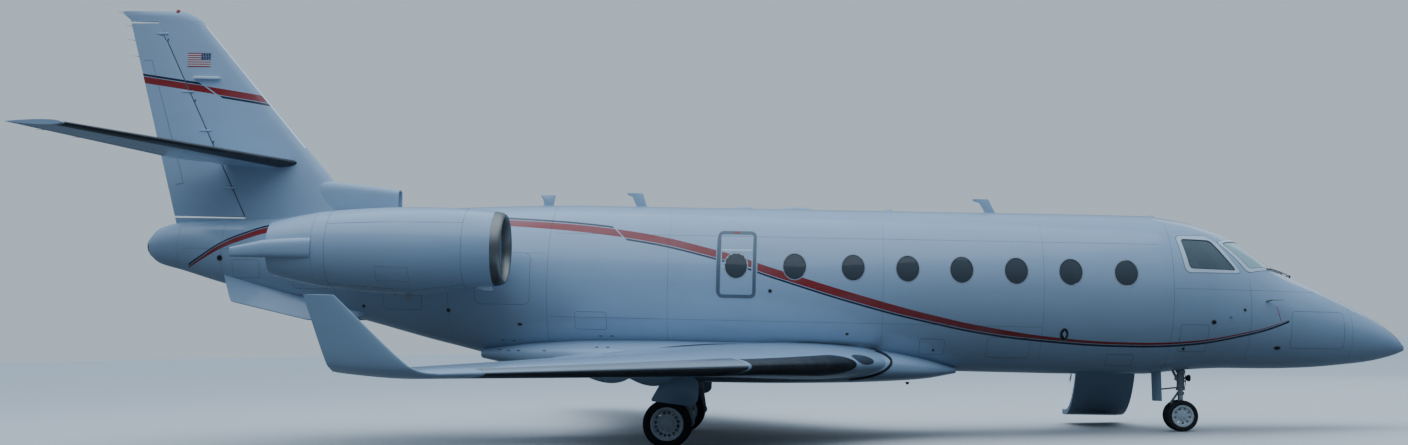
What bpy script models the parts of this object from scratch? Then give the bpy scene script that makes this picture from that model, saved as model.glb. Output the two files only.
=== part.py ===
"""Twin-engine business jet, parked on its wheels with the airstair down.

Metres, +Z up, nose towards +X, port side towards +Y. Every table below is in
the aeroplane's own level axes. PARK then tips the airframe nose down by its
parked attitude, so that all the tyres meet the ground at z = 0.
"""
import bmesh
import bpy
from math import asin, atan2, cos, hypot, pi, radians, sin, sqrt
from mathutils import Matrix, Vector

# Parked attitude and the shift that centres the whole object on x = 0.
NOSE_DOWN = radians(2.35)
SHIFT_X = 0.047
PARK = Matrix.Translation((SHIFT_X, 0, 0)) @ Matrix.Rotation(NOSE_DOWN, 4, "Y")

# Gaps: between touching solids, round what moves, and past the outer end of a swept control surface.
GAP = 0.0004
RUNNING = 0.006
END_GAP = 0.026
PIN_RADIUS = 0.008

# Fuselage: x, top, bottom, half width, height of the widest point.
HULL = [
    (9.430, 1.560, 1.490, 0.040, 1.525),
    (9.330, 1.680, 1.445, 0.150, 1.555),
    (9.150, 1.830, 1.385, 0.270, 1.600),
    (8.900, 1.985, 1.325, 0.385, 1.650),
    (8.550, 2.165, 1.275, 0.505, 1.720),
    (8.100, 2.380, 1.225, 0.640, 1.800),
    (7.600, 2.605, 1.197, 0.775, 1.880),
    (7.360, 2.760, 1.190, 0.835, 1.930),
    (7.100, 2.950, 1.187, 0.895, 1.980),
    (6.900, 3.070, 1.185, 0.940, 2.020),
    (6.650, 3.180, 1.175, 0.990, 2.070),
    (6.250, 3.295, 1.140, 1.085, 2.150),
    (5.900, 3.352, 1.094, 1.134, 2.191),
    (5.750, 3.376, 1.075, 1.155, 2.208),
    (4.300, 3.382, 1.048, 1.167, 2.215),
    (-2.600, 3.382, 1.048, 1.167, 2.215),
    (-2.900, 3.374, 1.058, 1.161, 2.217),
    (-3.400, 3.360, 1.075, 1.150, 2.220),
    (-4.500, 3.310, 1.285, 1.040, 2.320),
    (-5.750, 3.230, 1.596, 0.830, 2.440),
    (-7.000, 3.130, 1.885, 0.600, 2.530),
    (-8.000, 3.060, 2.122, 0.420, 2.600),
    (-8.600, 3.030, 2.295, 0.330, 2.670),
    (-8.980, 2.930, 2.400, 0.250, 2.670),
    (-9.110, 2.800, 2.500, 0.150, 2.650),
]
RING_SIDES = 28
HULL_RADIUS = 1.167
WALL = 0.077
AFT_WALL = 0.022
RADOME_X = 8.55
NOSE_BAY_X = 7.60
COCKPIT_X = 5.90
CABIN_END_X = -2.90
TAIL_CONE_X = -8.60

# Cabin windows: ovals along one line, on the port side without the first.
WINDOW_X = [5.241, 4.473, 3.717, 2.957, 2.202, 1.437, 0.613, -0.215]
WINDOW_Z = 2.50
WINDOW_SIZE = (0.320, 0.376)
WINDOW_TILT = asin((WINDOW_Z - 2.215) / HULL_RADIUS)

# Overwing exit on the starboard side, and the airstair door on the port side.
EXIT_X = (-0.490, 0.050)
EXIT_Z = (2.040, 2.960)
EXIT_CORNER = 0.100
DOOR_X = (4.920, 5.820)
DOOR_ANGLES = (-43.0, 50.0)
DOOR_CENTRE_Z = 2.215
DOOR_EDGE = 0.35
DOOR_OPEN = 132.0

# Airstair hinge: height over the skin, knuckle radius, strap thickness range, fixed and door knuckles.
HINGE_OUT = 0.016
KNUCKLE_RADIUS = 0.012
STRAP = (1.120, 1.187)
FIXED_KNUCKLES = [(5.020, 5.080), (5.660, 5.720)]
DOOR_KNUCKLES = [(5.0804, 5.140), (5.600, 5.6596)]
STEP_INSET = 0.120
CHEEK_HALF = 0.012
CHEEK_DEPTH = 0.065
CHEEK_MARGIN = 5.0
TREAD_ANGLES = [-32.0, -15.5, 1.0, 17.5, 33.0]
TREAD_DEPTH = 0.200
TREAD_HALF = 0.012
RAIL_ANGLES = (-28.0, 26.0)
RAIL_RADIUS = 0.015
RAIL_REACH = (0.0, -0.60, 0.05)

# Cabin floor, with its edge beside the airstair's well, and what stands on it.
FLOOR_X = (-2.85, 7.30)
FLOOR_Z = (1.400, 1.440)
FLOOR_DOOR_EDGE = 0.350
PANEL_X = (7.020, 7.450)
PANEL_TOP = 2.400
PANEL_HALF = 0.600

# Seats: x, distance from the middle, the way they face. The cabin seats stand on a rail on each side.
PILOT_SEATS = [(6.450, 0.380, 1)]
CABIN_SEATS = [(4.000, 0.620, -1), (2.700, 0.620, 1), (1.300, 0.620, -1), (0.000, 0.620, 1)]
SEAT_SIZE = (0.520, 0.500, 0.440)
SEAT_BACK = (0.130, 0.700)
SEAT_RAIL = dict(half=0.060, past=0.300)

# Belly fairing: x, half width, top, bottom.
FAIRING = [
    (2.950, 0.550, 1.120, 1.020),
    (2.500, 0.950, 1.250, 0.935),
    (1.900, 1.250, 1.360, 0.885),
    (1.200, 1.400, 1.420, 0.850),
    (0.000, 1.450, 1.440, 0.820),
    (-1.000, 1.450, 1.440, 0.815),
    (-2.200, 1.400, 1.420, 0.860),
    (-3.100, 1.200, 1.360, 0.940),
    (-3.900, 0.700, 1.250, 1.080),
]

# Wing and winglet: y, height of the chord, leading edge x, chord, thickness ratio, cant.
WING = [
    (0.900, 1.160, 2.130, 4.830, 0.108, 0.0),
    (3.200, 1.160, 0.625, 3.200, 0.100, 0.0),
    (8.450, 1.140, -2.800, 1.000, 0.095, 0.0),
]
WINGLET = [
    (8.4504, 1.140, -2.800, 1.000, 0.095, 0.0),
    (8.620, 1.175, -2.960, 0.850, 0.090, 35.0),
    (8.730, 1.300, -3.130, 0.720, 0.085, 68.0),
    (8.830, 1.880, -3.740, 0.300, 0.080, 80.0),
]
FLAP_Y = (1.500, 5.550)
AILERON_Y = (5.600, 8.100)
WING_HINGE = 0.745

# Fairings over the flap tracks: y, front x, back x, height of the top, depth, half width.
TRACK_FAIRINGS = [
    (2.200, -0.950, -1.740, 1.035, 0.220, 0.065),
    (4.000, -1.350, -2.060, 1.065, 0.150, 0.050),
]
TRACK_SHAPE = [(0.0, 0.15), (0.15, 0.70), (0.45, 1.0), (0.80, 0.62), (1.0, 0.20)]

# Tailplane: y, height, leading edge x, chord, thickness ratio.
TAILPLANE = [
    (0.000, 3.940, -6.840, 1.700, 0.095),
    (3.450, 4.120, -9.000, 0.757, 0.090),
]
ELEVATOR_Y = (0.400, 3.250)
ELEVATOR_HINGE = 0.66

# Fin: height, leading edge x, chord, thickness ratio.
FIN = [
    (2.950, -5.700, 3.040, 0.100),
    (6.110, -8.480, 1.120, 0.090),
]
FIN_CAP = [
    (6.110, -8.480, 1.120, 0.090),
    (6.190, -8.600, 1.100, 0.080),
    (6.250, -8.740, 0.960, 0.040),
]
RUDDER_Z = (3.120, 6.060)
FIN_HINGE = 0.63

# Air inlet at the foot of the fin: x, half width, top, bottom, then its wall and the duct's depth.
INLET = [
    (-5.330, 0.125, 3.570, 3.220),
    (-5.900, 0.135, 3.640, 3.200),
    (-6.600, 0.110, 3.700, 3.120),
]
INLET_WALL = 0.022
DUCT_DEPTH = 0.250
DUCT_SILL = 0.100

# Strake under the tail: its outline on the port side, and half its thickness.
STRAKE = [
    (-5.615, 0.460, 1.720),
    (-5.830, 0.500, 1.610),
    (-6.500, 0.580, 1.600),
    (-7.695, 0.520, 1.850),
    (-7.892, 0.300, 2.260),
    (-6.700, 0.300, 2.050),
]
STRAKE_HALF = (0, 0.010, 0.008)

# Engine: centre, then turned profiles as x and radius.
ENGINE_Y = 1.90
ENGINE_Z = 2.585
LIP_PROFILE = [(-3.620, 0.575), (-3.470, 0.556), (-3.385, 0.530), (-3.360, 0.505),
               (-3.395, 0.470), (-3.480, 0.445), (-3.620, 0.440)]
COWL_PROFILE = [(-3.6204, 0.575), (-3.950, 0.596), (-4.400, 0.604), (-4.950, 0.596),
                (-5.500, 0.560), (-5.950, 0.515), (-5.950, 0.475), (-5.000, 0.490),
                (-4.500, 0.480), (-4.100, 0.465), (-3.6204, 0.440)]
REAR_COWL_PROFILE = [(-5.9504, 0.515), (-6.250, 0.458), (-6.620, 0.370), (-6.620, 0.345),
                     (-6.250, 0.405), (-5.9504, 0.445)]
FAN_X = -4.200
FAN_RADIUS = 0.455
FAN_BLADES = 22
BLADE = dict(root=0.130, half_chord=0.045, half_skin=0.004, back=0.040, pitch=42.0)
HUB_RADIUS = 0.150
SPINNER = dict(length=0.220, tip=0.020)
CORE_X = (-4.300, -5.700)
CORE_RADIUS = 0.300
PLUG = dict(end=-6.450, root=0.200, tip=0.050)
STRUTS = dict(count=6, x=-4.850, half_chord=0.060, half_skin=0.012, root=0.250, tip=0.4812)
JOIN = 0.020

# Pylon: y, leading edge x, chord, thickness ratio.
PYLON = [
    (0.600, -3.950, 2.150, 0.085),
    (1.600, -4.050, 2.000, 0.085),
]

# Fairing along the outer side of each rear cowl: x, inner y, outer y, bottom, top, from the engine's centre.
COWL_FAIRING = [
    (-5.9504, 0.400, 0.535, -0.155, 0.145),
    (-6.620, 0.330, 0.505, -0.150, 0.100),
    (-7.080, 0.420, 0.470, -0.145, -0.010),
]
OUTER_SHARE = 0.8

# Wheels: ground x, distance from the middle, tyre radius and width, rim radius, half the pair's spacing.
NOSE_WHEEL = dict(x=6.319, y=0.0, radius=0.225, width=0.112, rim=0.144, half=0.115)
MAIN_WHEEL = dict(x=-1.029, y=1.650, radius=0.335, width=0.168, rim=0.216, half=0.165)
AXLE_RADIUS = 0.035
AXLE_BORE = 0.0358
EYE_BORE = 0.010

# Main leg from its axle: the knee and the top of the leg, the shock strut's foot and neck, and radii.
MAIN_LEG = dict(knee=(0.30, 0, 0.02), top=(0.16, 0, 1.00), foot=(0.06, 0, 0.03), neck=(0.14, 0, 0.42))
SHOCK_TOP = (0.18, 0, 0.58)
MAIN_RADII = dict(leg=0.060, knuckle=0.068, link=0.040, rod=0.030, barrel=0.042, eye=0.060)
KNUCKLE_HALF = 0.055
MAIN_EYE_HALF = 0.050

# Leg door outside the wheels of each main leg: outline as ground x and height, and its boss.
LEG_DOOR = [
    (-1.248, 0.654),
    (-0.688, 0.574),
    (-0.597, 0.632),
    (-0.582, 0.910),
    (-0.660, 0.975),
    (-1.036, 0.995),
    (-1.123, 0.860),
]
LEG_DOOR_Y = 1.925
LEG_DOOR_HALF = 0.010
BOSS_X = (-0.844, -0.764)
BOSS_Z = (0.830, 0.930)

# Nose leg from its axle: knee, top and cross bar, the feet of the brace and of the door's strut, and radii.
NOSE_LEG = dict(knee=(0, 0, 0.36), top=(0, 0, 0.80), low=(0, 0, 0.03))
CROSS_BAR = ((-0.05, -0.13, 0.62), (0.05, 0.13, 0.66))
NOSE_BRACE = ((0, 0, 0.44), (-0.20, 0, 0.80))
DOOR_STRUT_FOOT = (0, 0, 0.40)
DOOR_STRUT_TOP = 0.600
NOSE_RADII = dict(leg=0.055, brace=0.022, strut=0.018, lower=0.040, eye=0.058)
NOSE_EYE_HALF = 0.045

# Nose leg door, behind the leg: place, curve radius, half angle, skin, then bottom and top over the ground.
NOSE_DOOR = dict(x=5.925, radius=0.160, spread=70.0, skin=0.012, low=0.445, high=1.000)

# Blade aerials on the crown: front and back of the foot, front and back of the tip, tip height.
AERIALS = [
    (-3.010, -3.140, -2.975, -3.202, 3.537),
    (-1.600, -1.750, -1.667, -1.907, 3.590),
    (3.560, 3.410, 3.449, 3.214, 3.590),
]
AERIAL_HALF = 0.010
AERIAL_NECK = 0.075

MATERIALS = {
    "white_paint": ((0.72, 0.76, 0.82), 0.25, 0.0),
    "bare_metal": ((0.60, 0.60, 0.62), 0.30, 1.0),
    "dark_metal": ((0.12, 0.12, 0.13), 0.45, 0.8),
    "leg_paint": ((0.65, 0.67, 0.70), 0.40, 0.0),
    "wheel_rim": ((0.50, 0.51, 0.53), 0.35, 0.7),
    "tyre_rubber": ((0.02, 0.02, 0.02), 0.85, 0.0),
    "cabin_glass": ((0.05, 0.06, 0.07), 0.05, 0.0),
    "cabin_lining": ((0.55, 0.50, 0.42), 0.80, 0.0),
}


def clear_scene():
    """Start from an empty scene with one collection for the parts and one for the cutters."""
    for obj in list(bpy.data.objects):
        bpy.data.objects.remove(obj, do_unlink=True)
    collections = []
    for title in ("business_jet", "cutters"):
        collection = bpy.data.collections.new(title)
        bpy.context.scene.collection.children.link(collection)
        collections.append(collection)
    return collections


PARTS, CUTTERS = clear_scene()


def material(title):
    """A plain finish from the table, made once."""
    if title in bpy.data.materials:
        return bpy.data.materials[title]
    colour, roughness, metallic = MATERIALS[title]
    result = bpy.data.materials.new(title)
    result.use_nodes = True
    shader = result.node_tree.nodes["Principled BSDF"]
    shader.inputs["Base Color"].default_value = (*colour, 1.0)
    shader.inputs["Roughness"].default_value = roughness
    shader.inputs["Metallic"].default_value = metallic
    return result


def smooth(table, x, column):
    """Read one column of a table at x, on a smooth curve that never overshoots its rows."""
    rows = sorted(table)
    if x <= rows[0][0]:
        return rows[0][column]
    if x >= rows[-1][0]:
        return rows[-1][column]
    steps = [(b[column] - a[column]) / (b[0] - a[0]) for a, b in zip(rows, rows[1:])]
    slopes = [steps[0]]
    for before, after in zip(steps, steps[1:]):
        same_way = before * after > 0
        slopes.append(2 * before * after / (before + after) if same_way else 0.0)
    slopes.append(steps[-1])
    index = max(i for i, row in enumerate(rows[:-1]) if row[0] <= x)
    low, high = rows[index], rows[index + 1]
    span = high[0] - low[0]
    t = (x - low[0]) / span
    return ((2 * t**3 - 3 * t**2 + 1) * low[column] + (t**3 - 2 * t**2 + t) * span * slopes[index]
            + (3 * t**2 - 2 * t**3) * high[column] + (t**3 - t**2) * span * slopes[index + 1])


def mesh_object(name, bm, finish=None, origin=None, parked=True):
    """Turn a bmesh into an object: a part with a finish, or else a cutter."""
    bm.normal_update()
    bmesh.ops.recalc_face_normals(bm, faces=bm.faces)
    place = Matrix.Translation(origin) if origin is not None else Matrix.Identity(4)
    bm.transform(place.inverted())
    mesh = bpy.data.meshes.new(name)
    bm.to_mesh(mesh)
    bm.free()
    obj = bpy.data.objects.new(name, mesh)
    obj.matrix_world = (PARK if parked else Matrix.Identity(4)) @ place
    if finish is None:
        CUTTERS.objects.link(obj)
        obj.hide_render = True
        obj.display_type = "WIRE"
    else:
        PARTS.objects.link(obj)
        mesh.materials.append(material(finish))
        mesh.shade_smooth()
        mesh.set_sharp_from_angle(angle=radians(35))
    return obj


def combine(obj, cutter, operation="DIFFERENCE"):
    """Cut, join or intersect a part with a cutter."""
    modifier = obj.modifiers.new(operation.lower(), "BOOLEAN")
    modifier.operation = operation
    modifier.object = cutter
    modifier.solver = "EXACT"
    return obj


def evaluated_bmesh(obj, place=None):
    """The object's shape with its modifiers applied, in the aeroplane's axes."""
    bpy.context.view_layer.update()
    graph = bpy.context.evaluated_depsgraph_get()
    mesh = bpy.data.meshes.new_from_object(obj.evaluated_get(graph))
    bm = bmesh.new()
    bm.from_mesh(mesh)
    bm.transform(PARK.inverted() @ obj.matrix_world)
    if place is not None:
        bm.transform(place)
    bpy.data.meshes.remove(mesh)
    return bm


def skin_quad(bm, a, b, c, d):
    """One facet of a skin, or two along the shorter diagonal where its corners don't lie in a plane."""
    normal = (b.co - a.co).cross(c.co - a.co)
    flat = normal.length > 0 and abs(normal.normalized().dot(d.co - a.co)) < 0.00001
    if flat:
        bm.faces.new((a, b, c, d))
    elif (b.co - d.co).length < (a.co - c.co).length:
        bm.faces.new((a, b, d))
        bm.faces.new((b, c, d))
    else:
        bm.faces.new((a, b, c))
        bm.faces.new((a, c, d))


def loft(rings, closed=False):
    """Skin a row of equal rings; a closed row joins its last ring to its first."""
    bm = bmesh.new()
    rows = [[bm.verts.new(point) for point in ring] for ring in rings]
    pairs = list(zip(rows, rows[1:]))
    if closed:
        pairs.append((rows[-1], rows[0]))
    for near, far in pairs:
        count = len(near)
        for i in range(count):
            j = (i + 1) % count
            skin_quad(bm, near[i], near[j], far[j], far[i])
    if not closed:
        bm.faces.new(rows[0])
        bm.faces.new(list(reversed(rows[-1])))
    return bm


def prism(points, direction):
    """A straight block between an outline and the same outline moved along a direction."""
    ahead = Vector(direction)
    base = [Vector(point) for point in points]
    return loft([[p - ahead for p in base], [p + ahead for p in base]])


def join_bodies(*shapes):
    """Several bmeshes in one, as separate bodies for one cutter or for a later union."""
    whole = bmesh.new()
    for shape in shapes:
        spare = bpy.data.meshes.new("spare")
        shape.to_mesh(spare)
        shape.free()
        whole.from_mesh(spare)
        bpy.data.meshes.remove(spare)
    return whole


def rod(start, end, radius, sides=12, end_radius=None):
    """A round bar between two points."""
    start, end = Vector(start), Vector(end)
    along = end - start
    bm = bmesh.new()
    bmesh.ops.create_cone(bm, cap_ends=True, segments=sides, radius1=radius,
                          radius2=radius if end_radius is None else end_radius, depth=along.length)
    turn = along.to_track_quat("Z", "Y").to_matrix().to_4x4()
    bm.transform(Matrix.Translation((start + end) / 2) @ turn)
    return bm


def box(low, high):
    """A box between two corners."""
    low, high = Vector(low), Vector(high)
    bm = bmesh.new()
    bmesh.ops.create_cube(bm, size=1.0)
    size = high - low
    bm.transform(Matrix.Translation((low + high) / 2) @ Matrix.Diagonal((*size, 1.0)))
    return bm


def fuse(name, finish, shapes, origin=None, parked=True):
    """One part made of overlapping shapes: the first, with the rest united to it."""
    body = mesh_object(name, shapes[0], finish, origin, parked)
    for index, shape in enumerate(shapes[1:]):
        cutter = mesh_object(f"{name}_join_{index}", shape, parked=parked)
        combine(body, cutter, "UNION")
    return body


def turned(profile, centre, sides, axis="X"):
    """A closed ring or solid of revolution from a closed outline of (along, radius)."""
    rings = []
    for step in range(sides):
        angle = 2 * pi * (step + 0.5) / sides
        ring = []
        for along, radius in profile:
            across, up = radius * cos(angle), radius * sin(angle)
            point = (along, across, up) if axis == "X" else (across, along, up)
            ring.append(Vector(point) + Vector(centre))
        rings.append(ring)
    return loft(rings, closed=True)


def mirrored(points, side):
    """Points as given for port, or mirrored for starboard."""
    return [Vector((x, y * side, z)) for x, y, z in points]


SIDES = {"right": -1, "left": 1}


def hull_section(x):
    """Top, bottom, half width and widest height at x, straight between the table's rows."""
    for ahead, behind in zip(HULL, HULL[1:]):
        if ahead[0] >= x >= behind[0]:
            t = (ahead[0] - x) / (ahead[0] - behind[0])
            return [a + (b - a) * t for a, b in zip(ahead[1:], behind[1:])]
    raise ValueError(f"station {x} is outside the fuselage")


def hull_point(x, angle, inset=0.0):
    """A point on the fuselage skin at an angle above the horizontal, moved in by inset."""
    top, bottom, half, middle = hull_section(x)
    reach = (top - middle if sin(angle) > 0 else middle - bottom) - inset
    return Vector((x, (half - inset) * cos(angle), middle + reach * sin(angle)))


def hull_ring(x, inset=0.0):
    return [hull_point(x, 2 * pi * i / RING_SIDES, inset) for i in range(RING_SIDES)]


def stations(start, end):
    """The fuselage stations between two places, with the two ends, from front to back."""
    front, back = max(start, end), min(start, end)
    inner = [row[0] for row in HULL if back + 0.001 < row[0] < front - 0.001]
    return [front, *inner, back]


def tube(start, end, wall):
    """A length of fuselage as an open tube of one wall thickness."""
    places = stations(start, end)
    outer = [hull_ring(x) for x in places]
    inner = [hull_ring(x, wall) for x in reversed(places)]
    return loft(outer + inner, closed=True)


def solid_hull(start, end, grow=GAP):
    """The filled fuselage, slightly grown, that other parts are trimmed with."""
    return loft([hull_ring(x, -grow) for x in stations(start, end)])


def wedge(x_low, x_high, low, high, inner=0.75, outer=1.40):
    """A sector of a thick ring round the cabin's axis, on the port side."""
    steps = 6
    angles = [radians(low + (high - low) * i / steps) for i in range(steps + 1)]
    outline = [(inner * cos(a), DOOR_CENTRE_Z + inner * sin(a)) for a in angles]
    outline += [(outer * cos(a), DOOR_CENTRE_Z + outer * sin(a)) for a in reversed(angles)]
    middle = (x_low + x_high) / 2
    return prism([(middle, y, z) for y, z in outline], ((x_high - x_low) / 2, 0, 0))


def oval(x, side, width, height, near, far, sides=14):
    """An oval plug through the cabin wall, square to the wall at the window line."""
    across = Vector((0, side * cos(WINDOW_TILT), sin(WINDOW_TILT)))
    up = Vector((0, -side * sin(WINDOW_TILT), cos(WINDOW_TILT)))
    centre = Vector((x, 0, DOOR_CENTRE_Z)) + across * (near + far) / 2
    points = []
    for i in range(sides):
        angle = 2 * pi * i / sides
        points.append(centre + Vector((width / 2 * cos(angle), 0, 0)) + up * height / 2 * sin(angle))
    return prism(points, across * (far - near) / 2)


# Cockpit glass: outlines on the starboard skin, then the way each block cuts in.
WINDSHIELD = [(7.580, -0.035, 2.600), (7.020, -0.690, 2.585), (6.720, -0.560, 2.985), (7.050, -0.035, 2.960)]
WINDSHIELD_WAY = (0.28, -0.12, 0.26)
SIDE_WINDOW = [(6.825, -0.95, 2.597), (6.149, -0.95, 2.583), (6.068, -0.80, 3.011), (6.505, -0.80, 3.020)]
SIDE_WINDOW_WAY = (0.0, -0.40, 0.05)


def shrink(points, amount):
    """Move the corners of an outline towards its middle by roughly the amount."""
    centre = sum((Vector(p) for p in points), Vector()) / len(points)
    result = []
    for point in points:
        offset = Vector(point) - centre
        result.append(centre + offset * (1 - amount / offset.length))
    return result


def glass_block(outline, way, side, amount=0.0):
    """The block that cuts a pane's opening on one side, or trims the pane itself."""
    points = mirrored([(x, -y, z) for x, y, z in outline], side)
    direction = Vector((way[0], -way[1] * side, way[2]))
    return prism(shrink(points, amount), direction)


def build_fuselage():
    """Nose cone, cockpit, cabin, aft body and tail cone, with their openings."""
    mesh_object("radome", loft([hull_ring(x) for x in stations(RADOME_X + GAP, 9.43)]), "white_paint")
    outer = [hull_ring(x) for x in stations(RADOME_X, COCKPIT_X + GAP)]
    inner = [hull_ring(x, WALL) for x in reversed(stations(COCKPIT_X + GAP, NOSE_BAY_X))]
    cockpit = mesh_object("cockpit_shell", loft(outer + inner), "white_paint")
    blocks = []
    for side in SIDES.values():
        blocks.append(glass_block(WINDSHIELD, WINDSHIELD_WAY, side))
        blocks.append(glass_block(SIDE_WINDOW, SIDE_WINDOW_WAY, side))
    combine(cockpit, mesh_object("cockpit_openings", join_bodies(*blocks)))

    cabin = mesh_object("cabin_shell", tube(CABIN_END_X, COCKPIT_X, WALL), "white_paint")
    ovals = []
    for x in WINDOW_X[:-1]:
        ovals.append(oval(x, -1, *WINDOW_SIZE, 0.95, 1.30))
    for x in WINDOW_X[1:]:
        ovals.append(oval(x, 1, *WINDOW_SIZE, 0.95, 1.30))
    combine(cabin, mesh_object("window_openings", join_bodies(*ovals)))
    combine(cabin, mesh_object("door_opening", wedge(*DOOR_X, *DOOR_ANGLES)))
    combine(cabin, mesh_object("exit_opening", exit_block(0.0)))
    join_knuckles(cabin, FIXED_KNUCKLES, -48.0, DOOR_ANGLES[0] - 0.4)

    for row in AERIALS[1:]:
        combine(cabin, mesh_object(f"aerial_{row[0]:.2f}", aerial(row)), "UNION")

    exit_panel = mesh_object("overwing_exit", tube(-1.0, 0.6, WALL), "white_paint")
    combine(exit_panel, mesh_object("exit_trim", exit_block(GAP)), "INTERSECT")
    combine(exit_panel, mesh_object("exit_window", oval(WINDOW_X[-1], -1, *WINDOW_SIZE, 0.95, 1.30)))

    places = stations(TAIL_CONE_X + GAP, CABIN_END_X - GAP)
    outer = [hull_ring(x) for x in places]
    inner = [hull_ring(x, AFT_WALL) for x in reversed(places[1:])]
    bulkhead = hull_ring(CABIN_END_X - GAP - AFT_WALL, AFT_WALL)
    aft = mesh_object("aft_body", loft([*outer, *inner, bulkhead]), "white_paint")
    combine(aft, mesh_object("aerial_aft", aerial(AERIALS[0])), "UNION")
    mesh_object("tail_cone", loft([hull_ring(x) for x in stations(-9.11, TAIL_CONE_X)]), "white_paint")


def aerial(row):
    """A swept blade on the crown, its foot in the skin and its tip bent back level."""
    foot_front, foot_back, tip_front, tip_back, tip = row
    foot = hull_section(foot_front)[0] - 0.012
    neck = tip - AERIAL_NECK
    outline = [(foot_front, foot), (tip_front, tip), (tip_back, tip), (tip_back + 0.02, neck + 0.03),
               (foot_back + (tip_back - foot_back) * 0.35, neck), (foot_back, foot)]
    return prism([(x, 0, z) for x, z in outline], (0, AERIAL_HALF, 0))


def exit_block(trim):
    """The rounded block of the overwing exit, smaller by trim on each side."""
    corner = EXIT_CORNER
    x_low, x_high = EXIT_X[0] + trim, EXIT_X[1] - trim
    z_low, z_high = EXIT_Z[0] + trim, EXIT_Z[1] - trim
    points = []
    for x, z, start in ((x_high - corner, z_high - corner, 0), (x_low + corner, z_high - corner, 90),
                        (x_low + corner, z_low + corner, 180), (x_high - corner, z_low + corner, 270)):
        for i in range(4):
            angle = radians(start + 30 * i)
            points.append((x + corner * cos(angle), -1.05, z + corner * sin(angle)))
    return prism(points, (0, -0.35, 0))


def build_glass():
    """Cockpit panes that follow the skin, and a strip of cabin panes on each side."""
    for word, side in SIDES.items():
        for title, outline, way in (("windshield", WINDSHIELD, WINDSHIELD_WAY),
                                    ("side_window", SIDE_WINDOW, SIDE_WINDOW_WAY)):
            places = stations(6.0, 7.7)
            rings = [hull_ring(x, 0.006) for x in places] + [hull_ring(x, 0.026) for x in reversed(places)]
            pane = mesh_object(f"{title}_{word}", loft(rings, closed=True), "cabin_glass")
            trim = mesh_object(f"{title}_{word}_trim", glass_block(outline, way, side, 0.001))
            combine(pane, trim, "INTERSECT")

        windows = WINDOW_X if side < 0 else WINDOW_X[1:]
        x_low, x_high = windows[-1] - 0.22, windows[0] + 0.22
        across = Vector((0, side * cos(WINDOW_TILT), sin(WINDOW_TILT)))
        up = Vector((0, -side * sin(WINDOW_TILT), cos(WINDOW_TILT)))
        centre = Vector(((x_low + x_high) / 2, 0, DOOR_CENTRE_Z)) + across * 1.045
        outline = []
        for along, high in ((-1, -1), (1, -1), (1, 1), (-1, 1)):
            outline.append(centre + Vector((along * (x_high - x_low) / 2, 0, 0)) + up * high * 0.190)
        strip = prism(outline, across * 0.006)
        width, height = (size - 2 * GAP for size in WINDOW_SIZE)
        plugs = [oval(x, side, width, height, 1.045, 1.145) for x in windows]
        fuse(f"cabin_windows_{word}", "cabin_glass", [strip, join_bodies(*plugs)])


def inside(front, back):
    """The filled space inside the cabin walls."""
    return loft([hull_ring(x, WALL + GAP) for x in stations(front, back)])


def seat_boxes(table, side, foot):
    """The cushion and the back of each seat in a table, on one side, from the height of their foot."""
    shapes = []
    floor = FLOOR_Z[1]
    long, wide, tall = SEAT_SIZE
    deep, high = SEAT_BACK
    for x, across, facing in table:
        y = side * across
        near, far = y - wide / 2, y + wide / 2
        shapes.append(box((x - long / 2, near, foot), (x + long / 2, far, floor + tall)))
        back = x - facing * (long - deep) / 2
        low = (back - deep / 2, near + JOIN, floor + tall - JOIN)
        shapes.append(box(low, (back + deep / 2, far - JOIN, floor + tall + high)))
    return shapes


def build_interior():
    """The cabin floor with the pilots' seats and the panel, and a row of cabin seats on each side."""
    low, high = FLOOR_Z
    shapes = [box((FLOOR_X[0], -1.5, low), (FLOOR_X[1], 1.5, high)),
              box((PANEL_X[0], -PANEL_HALF, high - JOIN), (PANEL_X[1], PANEL_HALF, PANEL_TOP))]
    for side in SIDES.values():
        shapes += seat_boxes(PILOT_SEATS, side, high - JOIN)
    fitted("cabin_floor", shapes)
    well = box((DOOR_X[0] - 0.15, FLOOR_DOOR_EDGE, low - 0.1), (DOOR_X[1] + 0.15, 1.5, high + 0.1))
    combine(bpy.data.objects["cabin_floor"], mesh_object("door_well", well))

    for word, side in SIDES.items():
        first, last = CABIN_SEATS[0], CABIN_SEATS[-1]
        middle = side * first[1]
        near, far = middle - SEAT_RAIL["half"], middle + SEAT_RAIL["half"]
        past = SEAT_RAIL["past"]
        rail = box((last[0] - past, near, high + GAP), (first[0] + past, far, high + 2 * JOIN))
        fitted(f"cabin_seats_{word}", [rail] + seat_boxes(CABIN_SEATS, side, high + JOIN))


def fitted(name, shapes):
    """Shapes united and trimmed to the space inside the cabin walls."""
    part = mesh_object(name, inside(NOSE_BAY_X, CABIN_END_X), "cabin_lining")
    whole = mesh_object(f"{name}_shape", shapes[0])
    for index, shape in enumerate(shapes[1:]):
        combine(whole, mesh_object(f"{name}_join_{index}", shape), "UNION")
    combine(part, whole, "INTERSECT")


def door_hinge():
    """The hinge line of the airstair: at the sill, just outside the skin."""
    angle = radians(DOOR_ANGLES[0])
    radius = HULL_RADIUS + HINGE_OUT
    return Vector(((DOOR_X[0] + DOOR_X[1]) / 2, radius * cos(angle), DOOR_CENTRE_Z + radius * sin(angle)))


def join_knuckles(body, spans, low, high):
    """Round knuckles on the airstair's hinge line, each with a strap along the skin."""
    hinge = door_hinge()
    for index, (near, far) in enumerate(spans):
        knuckle = rod((near, hinge.y, hinge.z), (far, hinge.y, hinge.z), KNUCKLE_RADIUS, 12)
        strap = wedge(near, far, low, high, *STRAP)
        for word, shape in (("strap", strap), ("knuckle", knuckle)):
            combine(body, mesh_object(f"{body.name}_{word}_{index}", shape), "UNION")


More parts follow.
